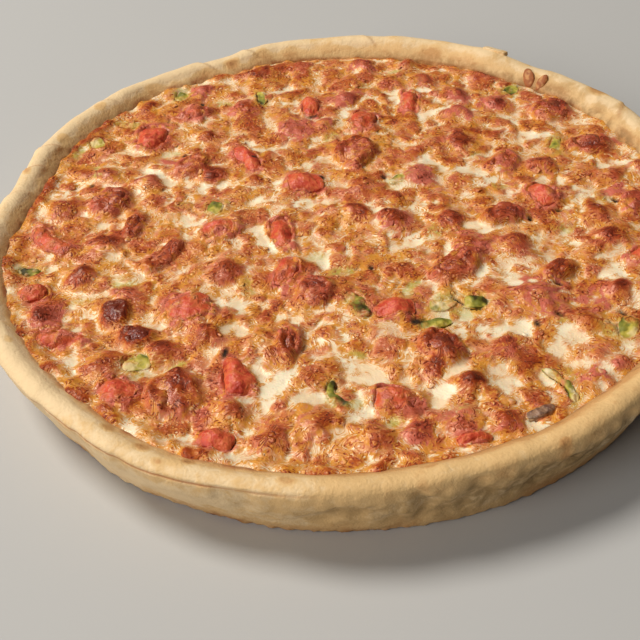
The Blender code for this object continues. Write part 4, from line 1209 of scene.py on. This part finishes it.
def crust_relief(points, degrees, inset, height, outward, strength):
    """How far the dough's bumps, dents, laps and fold move it out, and how strongly painted shade darkens its
    creases.
    """
    relief = grains(points, (21, 0.75, 91), (10, 0.24, 92), (5, 0.13, 93), (1.9, 0.06, 94)) * strength
    dents, slanted = wall_dents(points)
    wall = eased(height, 1.5 * MM, 7 * MM) * eased(height, 34.0 * MM, 29.0 * MM) * wall_share(inset)
    handled = (0.50 + 1.25 * bell(degrees + 56.0, 36.0)) * strength * wall
    relief -= handled * grains(slanted, (5.5, 0.75, 98), (2.6, 0.25, 99), start=1.5 * dents)
    depth, crease = fold_depth(degrees, height)
    lap, lap_crease = rim_laps(degrees, inset)
    outside = wall_share(inset) * outward
    relief = relief + lap * eased(height, 20.0 * MM, 30.0 * MM)
    relief = relief * eased(height, 0.2 * MM, 4.0 * MM) - depth * outside
    ragged = grains(points, (3.2, 0.7 * MM, 96), (8, 0.5 * MM, 97))
    relief += ragged * eased(height, 3.2 * MM, 1.0 * MM) * eased(height, 0.0, 0.6 * MM)
    return relief, np.maximum(crease * outside, 0.7 * lap_crease * eased(height, 24.0 * MM, 31.0 * MM))


def make_crust():
    """The dough as one closed shell with its relief, fold and toasted spots."""
    angle = 2.0 * np.pi * np.arange(CRUST_SLICES) / CRUST_SLICES
    radii, heights = smooth_profile(angle)
    along_r, along_z = np.gradient(radii, axis=0), np.gradient(heights, axis=0)
    length = np.maximum(np.hypot(along_r, along_z), 1e-9)
    turn = np.broadcast_to(angle, radii.shape)
    degrees, height = wrapped(np.degrees(turn)).reshape(-1), heights.reshape(-1)
    inset = (rim_radius(turn) - radii).reshape(-1)
    outward = np.repeat(np.arange(len(radii)), CRUST_SLICES) < OUTWARD_ROWS
    relief, crease = crust_relief(ring_points(radii, turn, heights), degrees, inset, height, outward,
                                  bpy.context.scene.pizza_sizes.dough_relief)
    push = relief.reshape(radii.shape)
    radii, heights = radii + along_z / length * push, np.maximum(heights + -along_r / length * push, 0.0)
    points = ring_points(radii, turn, heights)
    toast, stain, shade = crust_fields(points, degrees, inset, height)

    # the underside's rings lead up to the section, and the floor's rings close it under the cheese
    level = 0.0 * angle
    low = [ring_points(radii[0] * share, angle, level) for share in UNDERSIDE_RINGS]
    high = [ring_points(radii[-1] * share, angle, level + FLOOR_HEIGHT) for share in FLOOR_RINGS]
    everything = np.concatenate([*low, points, *high, [[0.0, 0.0, 0.0]], [[0.0, 0.0, FLOOR_HEIGHT]]])
    rings = len(low) + len(radii) + len(high)
    total = rings * CRUST_SLICES
    faces = grid_faces(rings, CRUST_SLICES, True).tolist()
    ring = np.arange(CRUST_SLICES)
    after = (ring + 1) % CRUST_SLICES
    last = total - CRUST_SLICES
    faces += np.stack([after, ring, np.full_like(ring, total)], axis=1).tolist()
    faces += np.stack([last + ring, last + after, np.full_like(ring, total + 1)], axis=1).tolist()

    unseen = (len(low) * CRUST_SLICES, len(high) * CRUST_SLICES + 2)
    fields = {name: np.pad(values, unseen, constant_values=elsewhere) for name, values, elsewhere in (
        ("toast", toast, 0.30), ("stain", stain, 0.0), ("crease", crease, 0.0), ("shade", shade, 0.0))}
    keep(mesh_object("dough_crust", everything, faces, material_for("dough"), fields), "dough", "crust")


def scrap_mesh(row, form, seed, ball):
    """A blister or flake sunk into the dough, on its slope."""
    direction, inset, height, length, width, rise, lean, turn = row
    directions, faces = ball
    points = chunk_skin(directions, (length, width, rise), 0, form, seed)
    points = points + normals_of(points, faces) * (0.25 * MM * noise(points, 2.4 * MM, seed))[:, None]
    angle = math.radians(direction)
    radius = float(rim_radius(np.array([angle]))[0]) - inset * MM
    spin = (Euler((0, 0, angle)).to_matrix() @ Euler((0, -math.radians(lean), 0)).to_matrix()
            @ Euler((0, 0, math.radians(turn))).to_matrix())
    place = np.array([radius * math.cos(angle), radius * math.sin(angle), height * MM])
    return points @ np.array(spin).T + place


def make_rim_scraps():
    """The two browned blisters inside the far rim and the flake that stands up on it."""
    ball = unit_ball(SCRAP_SUBDIVISIONS)
    count = len(ball[0])
    for name, rows, form, first_seed, toast, stain in (
            ("rim_blisters", RIM_BLISTERS, SCRAP_FORM, 500, 1.02, 0.45),
            ("rim_flake", (RIM_FLAKE,), FLAKE_FORM, 502, 0.0, 0.0)):
        scraps = [scrap_mesh(row, form, first_seed + k, ball) for k, row in enumerate(rows)]
        faces = np.concatenate([ball[1] + k * count for k in range(len(rows))])
        points = np.concatenate(scraps)
        middles = np.repeat([scrap.mean(axis=0) for scrap in scraps], count, axis=0)
        away = np.linalg.norm(points - middles, axis=1) / (0.5 * rows[0][3] * MM)
        none = np.zeros(len(points))
        fields = {"toast": toast + 0.40 * away ** 2 + 0.45 * noise(points, 2.0 * MM, 503),
                  "stain": none + stain, "crease": none, "shade": none}
        keep(mesh_object(name, points, faces, material_for("dough"), fields), "dough")


# ----------------------------------------------------------------------------------- cheese pieces

def disc_grid(cells):
    """A square grid drawn onto a disc of radius 1: places and quads, rows first."""
    side = np.linspace(-1.0, 1.0, cells + 1)
    a, b = (part.reshape(-1) for part in np.meshgrid(side, side, indexing="xy"))
    wide = np.abs(a) > np.abs(b)
    turn = np.where(wide, np.pi / 4 * (b / np.where(a == 0, 1, a)),
                    np.pi / 2 - np.pi / 4 * (a / np.where(b == 0, 1, b)))
    reach = np.where(wide, a, b)
    return reach * np.cos(turn), reach * np.sin(turn), grid_faces(cells + 1, cells + 1, False)


def make_cheese():
    """The baked cheese: a fine relief over the whole filling, closed underneath."""
    cells = bpy.context.scene.pizza_sizes.cheese_cells
    u, v, faces = disc_grid(cells)
    edge = wall_radius(np.arctan2(v, u)) + CHEESE_REACH
    x, y = u * edge, v * edge
    fields = cheese_fields(x, y)
    points = np.stack([x, y, fields.pop("height")], axis=1)
    side = cells + 1
    border = [*range(side), *range(2 * side - 1, side * side, side),
              *range(side * side - 2, side * (side - 1) - 1, -1), *range(side * (side - 2), 0, -side)]
    underside = FLOOR_HEIGHT + GAP
    low = points[border] * np.array([CHEESE_FOOT, CHEESE_FOOT, 0.0]) + np.array([0.0, 0.0, underside])
    start = len(points)
    points = np.concatenate([points, low, [[0.0, 0.0, underside]]])
    count = len(border)
    faces = faces.tolist()
    for k in range(count):
        after = (k + 1) % count
        faces.append([border[after], border[k], start + k, start + after])
        faces.append([start + after, start + k, start + count])
    fields = {name: np.concatenate([values, values[border], values[:1]]) for name, values in fields.items()}
    keep(mesh_object("baked_cheese", points, faces, material_for("cheese"), fields), "cheese", "filling")


# --------------------------------------------------------------------------- scattered small bubbles

def input_of(tree, name):
    """Identifier of a tree's input by its name."""
    return next(item.identifier for item in tree.interface.items_tree
                if item.item_type == "SOCKET" and item.in_out == "INPUT" and item.name == name)


def number_socket(sockets, name):
    """The number's own socket of a node that has one for each type of value."""
    return next(socket for socket in sockets if socket.name == name and socket.type == "VALUE")


def bubble_tree():
    """Geometry nodes that set small flat bubbles on the cheese where its bubble field allows."""
    tree = bpy.data.node_groups.new("bubbles on cheese", "GeometryNodeTree")
    for name, kind, value in (
            ("Geometry", "NodeSocketGeometry", None), ("Spacing", NUMBER, BUBBLE_SPACING),
            ("Density", NUMBER, BUBBLE_DENSITY), ("Smallest radius", NUMBER, BUBBLE_RADII[0]),
            ("Largest radius", NUMBER, BUBBLE_RADII[1]), ("Seed", "NodeSocketInt", BUBBLE_SEED),
            ("Material", "NodeSocketMaterial", None)):
        socket = tree.interface.new_socket(name, in_out="INPUT", socket_type=kind)
        if value is not None:
            socket.default_value = value
    tree.interface.new_socket("Geometry", in_out="OUTPUT", socket_type="NodeSocketGeometry")
    n = Nodes(tree)
    given = n.add("NodeGroupInput").outputs
    allowed = n.add("GeometryNodeInputNamedAttribute", {"Name": "bubbles"}, data_type="FLOAT").outputs[0]
    spots = n.add("GeometryNodeDistributePointsOnFaces", {
        "Mesh": given["Geometry"], "Distance Min": given["Spacing"], "Density Max": given["Density"],
        "Density Factor": allowed, "Seed": given["Seed"]}, distribute_method="POISSON")
    ball = n.add("GeometryNodeMeshUVSphere", {"Segments": 9, "Rings": 6, "Radius": 1.0})
    height = n.add("ShaderNodeSeparateXYZ", {0: n.add("GeometryNodeInputPosition").outputs[0]}).outputs[2]
    marked = n.add("GeometryNodeStoreNamedAttribute",
                   {"Geometry": ball.outputs["Mesh"], "Name": "crown", "Value": height},
                   data_type="FLOAT", domain="POINT")
    smooth = n.add("GeometryNodeSetShadeSmooth", {0: marked.outputs[0]})
    size = n.add("FunctionNodeRandomValue", {"Seed": given["Seed"]}, data_type="FLOAT")
    n.feed(number_socket(size.inputs, "Min"), given["Smallest radius"])
    n.feed(number_socket(size.inputs, "Max"), given["Largest radius"])
    radius = number_socket(size.outputs, "Value")
    scale = n.add("ShaderNodeCombineXYZ", {0: radius, 1: radius, 2: n.times(radius, BUBBLE_FLATNESS)})
    set_on = n.add("GeometryNodeInstanceOnPoints", {
        "Points": spots.outputs["Points"], "Instance": smooth.outputs[0],
        "Rotation": spots.outputs["Rotation"], "Scale": scale.outputs[0]})
    real = n.add("GeometryNodeRealizeInstances", {0: set_on.outputs[0]})
    dents = n.add("ShaderNodeTexNoise", {"Scale": MM_IN_METRE / BUBBLE_DENT, "Detail": 0.0}).outputs["Color"]
    shift = n.add("ShaderNodeVectorMath", {0: dents, 1: (0.5, 0.5, 0.5)}, operation="SUBTRACT").outputs[0]
    shift = n.add("ShaderNodeVectorMath", {0: shift, "Scale": BUBBLE_DENT * MM}, operation="SCALE").outputs[0]
    uneven = n.add("GeometryNodeSetPosition", {"Geometry": real.outputs[0], "Offset": shift})
    done = n.add("GeometryNodeSetMaterial", {"Geometry": uneven.outputs[0], "Material": given["Material"]})
    n.feed(n.add("NodeGroupOutput").inputs[0], done.outputs[0])
    return tree


def bubble_material():
    """A small bubble of cheese: browned round its foot, paler on its crown."""
    material, n, shader = new_material("cheese bubble")
    toast = n.sum("ADD", n.field("toast"), n.ease(n.field("crown"), 0.10, 0.9, 0.12, -0.04))
    look = cheese_look(n, toast=toast)
    rough = n.sum("ADD", look["Roughness"], 0.14)
    finish_shader(n, shader, look["Color"], rough, look["Height"], 0.5 * MM)
    return material


def make_bubbles():
    """Small blisters all over the coloured cheese, one plain mesh."""
    sizes = bpy.context.scene.pizza_sizes
    u, v, faces = disc_grid(BUBBLE_BED_CELLS)
    edge = wall_radius(np.arctan2(v, u)) - BUBBLE_MARGIN
    x, y = u * edge, v * edge
    fields = cheese_fields(x, y)
    covered = np.zeros_like(x)
    for kind, _, row in toppings():
        covered = np.maximum(covered, eased(footprint(row, FORMS[kind]["square"], x, y), 1.15, 1.0))
    fields["bubbles"] = (eased(fields["toast"], 0.25, 0.55) * (1.0 - fields["cream"]) * (1.0 - covered)
                         * eased(noise(flat_places(x, y), 14 * MM, 61), -0.2, 0.5))
    points = np.stack([x, y, fields.pop("height")], axis=1)
    material = bubble_material()
    tree = bubble_tree()
    bed = mesh_object("bubble_bed", points, faces, material, fields)
    scatter = bed.modifiers.new("bubbles", "NODES")
    scatter.node_group = tree
    for name, value in (("Spacing", sizes.bubble_spacing), ("Smallest radius", sizes.bubble_smallest),
                        ("Largest radius", sizes.bubble_largest), ("Seed", BUBBLE_SEED),
                        ("Material", material)):
        scatter[input_of(tree, name)] = value
    bpy.context.view_layer.update()
    mesh = bpy.data.meshes.new_from_object(bed.evaluated_get(bpy.context.evaluated_depsgraph_get()))
    bed.modifiers.remove(scatter)
    bpy.data.objects.remove(bed, do_unlink=True)
    if not mesh.polygons:
        raise RuntimeError("the scatter made no bubbles")
    mesh.name = "cheese_bubbles"
    keep(put(mesh.name, mesh), "cheese")


def make_toppings(kind):
    """Every topping of one kind, each in the place of its solid."""
    ball = unit_ball(CHUNK_SUBDIVISIONS)
    for found, number, row in toppings():
        if found == kind:
            points, faces, fields = topping_mesh(kind, number, row, ball)
            piece = mesh_object(f"baked_{kind}_{number}", points, faces, material_for(kind), fields)
            keep(piece, kind, f"{kind}_{number}")


# ------------------------------------------------------------------------------------------- stage

def make_stage():
    """Pale floor, soft studio light and the camera."""
    scene = bpy.context.scene
    material, _, shader = new_material("pale floor")
    shader.inputs["Base Color"].default_value = FLOOR_COLOUR
    shader.inputs["Roughness"].default_value = 0.8
    mesh = bpy.data.meshes.new("floor")
    half = FLOOR_HALF_SIZE
    corners = [(-half, -half, 0), (half, -half, 0), (half, half, 0), (-half, half, 0)]
    mesh.from_pydata(corners, [], [(0, 1, 2, 3)])
    mesh.materials.append(material)
    put("floor", mesh)

    world = bpy.data.worlds.new("studio")
    world.use_nodes = True
    background = world.node_tree.nodes["Background"]
    background.inputs["Color"].default_value = STUDIO_COLOUR
    background.inputs["Strength"].default_value = STUDIO_STRENGTH
    scene.world = world
    for name, place, size, power, colour in LIGHTS:
        lamp = bpy.data.lights.new(name, "AREA")
        lamp.shape = "DISK"
        lamp.size = size
        lamp.energy = power
        lamp.color = colour
        light = put(name, lamp)
        light.location = place
        light.rotation_euler = (Vector(LIGHT_AIM) - Vector(place)).to_track_quat("-Z", "Y").to_euler()

    camera = bpy.data.cameras.new("camera")
    camera.sensor_width = CAMERA_SENSOR
    camera.lens = CAMERA_LENS
    camera.clip_start = 0.01
    scene.camera = put("camera", camera)
    scene.camera.location = CAMERA_PLACE
    scene.camera.rotation_euler = [math.radians(part) for part in CAMERA_TURN]
    scene.view_settings.view_transform = "Standard"


# ------------------------------------------------------------------------------ settings and steps

class PizzaSizes(bpy.types.PropertyGroup):
    """Sizes that a user may change before the pieces are made."""
    cheese_cells: IntProperty(name="Cheese cells", description="Cells across the cheese surface",
                              default=MOST_CHEESE_CELLS, min=60, max=MOST_CHEESE_CELLS)
    dough_relief: FloatProperty(name="Dough relief", description="Height of the dents and bumps of the dough",
                                default=1.0 * MM, min=0.0, max=3.0 * MM, unit="LENGTH")
    bubble_spacing: FloatProperty(name="Bubble spacing", description="Least distance between bubbles",
                                  default=BUBBLE_SPACING, min=2.0 * MM, max=20.0 * MM, unit="LENGTH")
    bubble_smallest: FloatProperty(name="Smallest bubble", description="Radius of the smallest bubble",
                                   default=BUBBLE_RADII[0], min=0.2 * MM, max=3.0 * MM, unit="LENGTH")
    bubble_largest: FloatProperty(name="Largest bubble", description="Radius of the largest bubble",
                                  default=BUBBLE_RADII[1], min=0.2 * MM, max=4.0 * MM, unit="LENGTH")


def colour_setting(label, text, colour):
    """A colour that a user may change."""
    return FloatVectorProperty(name=label, description=text, subtype="COLOR", size=3, min=0.0, max=1.0,
                               default=colour)


class PizzaColours(bpy.types.PropertyGroup):
    """Colours that a user may change before the pieces are made."""
    cream: colour_setting("Cream", "Cheese that stayed pale", seen(247, 230, 196))
    gold: colour_setting("Gold", "Cheese that took first colour", seen(226, 168, 102))
    ochre: colour_setting("Ochre", "Oily cheese between the lumps", seen(214, 142, 38))
    amber: colour_setting("Amber", "Cheese baked to amber", seen(192, 101, 40))
    rose: colour_setting("Rose", "Browned cheese over meat", seen(168, 72, 50))
    brown: colour_setting("Brown", "Cheese baked brown", seen(160, 64, 22))
    # also the painted shade in the dips of the meat's wrinkles
    dark: colour_setting("Dark", "Cheese and meat baked darkest", seen(108, 34, 14))
    char: colour_setting("Char", "Scorched spots", seen(34, 20, 12))
    pink: colour_setting("Pink", "Cheese stained by tomato and meat", seen(202, 106, 84))
    green: colour_setting("Green stain", "Cheese stained by pepper", seen(178, 170, 84))
    # painted highlight on the crests of the meat's wrinkles
    painted_wrinkle_highlight: colour_setting("Speck", "Paler wrinkles on the browned meat", seen(204, 118, 88))
    tomato: colour_setting("Tomato", "Tomato flesh", seen(204, 74, 46))
    # also the painted shade on the tomatoes' steep sides
    tomato_deep: colour_setting("Deep tomato", "Tomato skin and folds", seen(152, 34, 18))
    tomato_pale: colour_setting("Pale tomato", "Tomato dried by the heat", seen(216, 108, 62))
    tomato_edge: colour_setting("Tomato edge", "Thin orange cheese over the tomato", seen(204, 96, 46))
    pepper_pale: colour_setting("Pale pepper", "Inner side of the pepper", seen(216, 192, 130))
    pepper_light: colour_setting("Light pepper", "Yellow green pepper", seen(184, 166, 66))
    pepper: colour_setting("Pepper", "Green pepper", seen(120, 118, 40))
    pepper_dark: colour_setting("Dark pepper", "Pepper skin", seen(62, 56, 20))
    mushroom: colour_setting("Mushroom", "Mushroom flesh", seen(150, 112, 84))
    mushroom_gill: colour_setting("Mushroom gills", "Mushroom gills", seen(92, 62, 48))
    dough_pale: colour_setting("Pale dough", "Dough that stayed pale", seen(234, 203, 156))
    dough: colour_setting("Dough", "Baked dough", seen(224, 183, 124))
    dough_toasted: colour_setting("Toasted dough", "Toasted dough", seen(203, 152, 94))
    dough_brown: colour_setting("Brown dough", "Browned dough", seen(140, 78, 38))
    # painted shade in the wall's dents, over the near-right wall, on parts of the rim and below the rim
    dough_shade: colour_setting("Shaded dough", "Dents of the wall", seen(112, 86, 48))
    # also the colour of the painted shade in the creases of the fold and the laps
    stain: colour_setting("Stain", "Oil and sauce on the dough", seen(180, 106, 58))


class PIZZA_OT_crust(bpy.types.Operator):
    """Make the dough crust"""
    bl_idname = "pizza.crust"
    bl_label = "Crust"

    def execute(self, context):
        make_crust()
        return {"FINISHED"}


class PIZZA_OT_rim_scraps(bpy.types.Operator):
    """Make the blisters and the flake on the rim"""
    bl_idname = "pizza.rim_scraps"
    bl_label = "Rim blisters and flake"

    def execute(self, context):
        make_rim_scraps()
        return {"FINISHED"}


class PIZZA_OT_cheese(bpy.types.Operator):
    """Make the baked cheese"""
    bl_idname = "pizza.cheese"
    bl_label = "Cheese"

    def execute(self, context):
        make_cheese()
        return {"FINISHED"}


class PIZZA_OT_bubbles(bpy.types.Operator):
    """Scatter small bubbles over the cheese"""
    bl_idname = "pizza.bubbles"
    bl_label = "Cheese bubbles"

    def execute(self, context):
        make_bubbles()
        return {"FINISHED"}


class PIZZA_OT_tomatoes(bpy.types.Operator):
    """Make the chunks of roasted tomato"""
    bl_idname = "pizza.tomatoes"
    bl_label = "Tomatoes"

    def execute(self, context):
        make_toppings("tomato")
        return {"FINISHED"}


class PIZZA_OT_peppers(bpy.types.Operator):
    """Make the pieces of green pepper"""
    bl_idname = "pizza.peppers"
    bl_label = "Peppers"

    def execute(self, context):
        make_toppings("pepper")
        return {"FINISHED"}


class PIZZA_OT_meat(bpy.types.Operator):
    """Make the browned lumps of meat"""
    bl_idname = "pizza.meat"
    bl_label = "Meat"

    def execute(self, context):
        make_toppings("meat")
        return {"FINISHED"}


class PIZZA_OT_mushrooms(bpy.types.Operator):
    """Make the mushroom slice"""
    bl_idname = "pizza.mushrooms"
    bl_label = "Mushroom"

    def execute(self, context):
        make_toppings("mushroom")
        return {"FINISHED"}


class PIZZA_OT_stage(bpy.types.Operator):
    """Set up the floor, the light and the camera"""
    bl_idname = "pizza.stage"
    bl_label = "Stage"

    def execute(self, context):
        make_stage()
        return {"FINISHED"}


STEPS = (PIZZA_OT_stage, PIZZA_OT_crust, PIZZA_OT_rim_scraps, PIZZA_OT_cheese, PIZZA_OT_bubbles,
         PIZZA_OT_tomatoes, PIZZA_OT_peppers, PIZZA_OT_meat, PIZZA_OT_mushrooms)


class PIZZA_PT_panel(bpy.types.Panel):
    """The pizza's steps and settings"""
    bl_idname = "PIZZA_PT_panel"
    bl_label = "Sicilian pizza"
    bl_space_type = "VIEW_3D"
    bl_region_type = "UI"
    bl_category = "Pizza"

    def draw(self, context):
        for group in (context.scene.pizza_sizes, context.scene.pizza_colours):
            for name in group.__annotations__:
                self.layout.prop(group, name)
        for kind in STEPS:
            self.layout.operator(kind.bl_idname)


CLASSES = (PizzaSizes, PizzaColours, *STEPS, PIZZA_PT_panel)


def register():
    """Register the classes and the scene's settings."""
    for kind in CLASSES:
        bpy.utils.register_class(kind)
    bpy.types.Scene.pizza_sizes = PointerProperty(type=PizzaSizes)
    bpy.types.Scene.pizza_colours = PointerProperty(type=PizzaColours)


def unregister():
    """Take the settings and the classes back."""
    del bpy.types.Scene.pizza_colours, bpy.types.Scene.pizza_sizes
    for kind in reversed(CLASSES):
        bpy.utils.unregister_class(kind)


def main():
    """Make every piece in order."""
    register()
    for kind in STEPS:
        group, name = kind.bl_idname.split(".")
        if getattr(getattr(bpy.ops, group), name)() != {"FINISHED"}:
            raise RuntimeError(f"{kind.bl_label} could not be made")


if __name__ == "__main__":
    main()
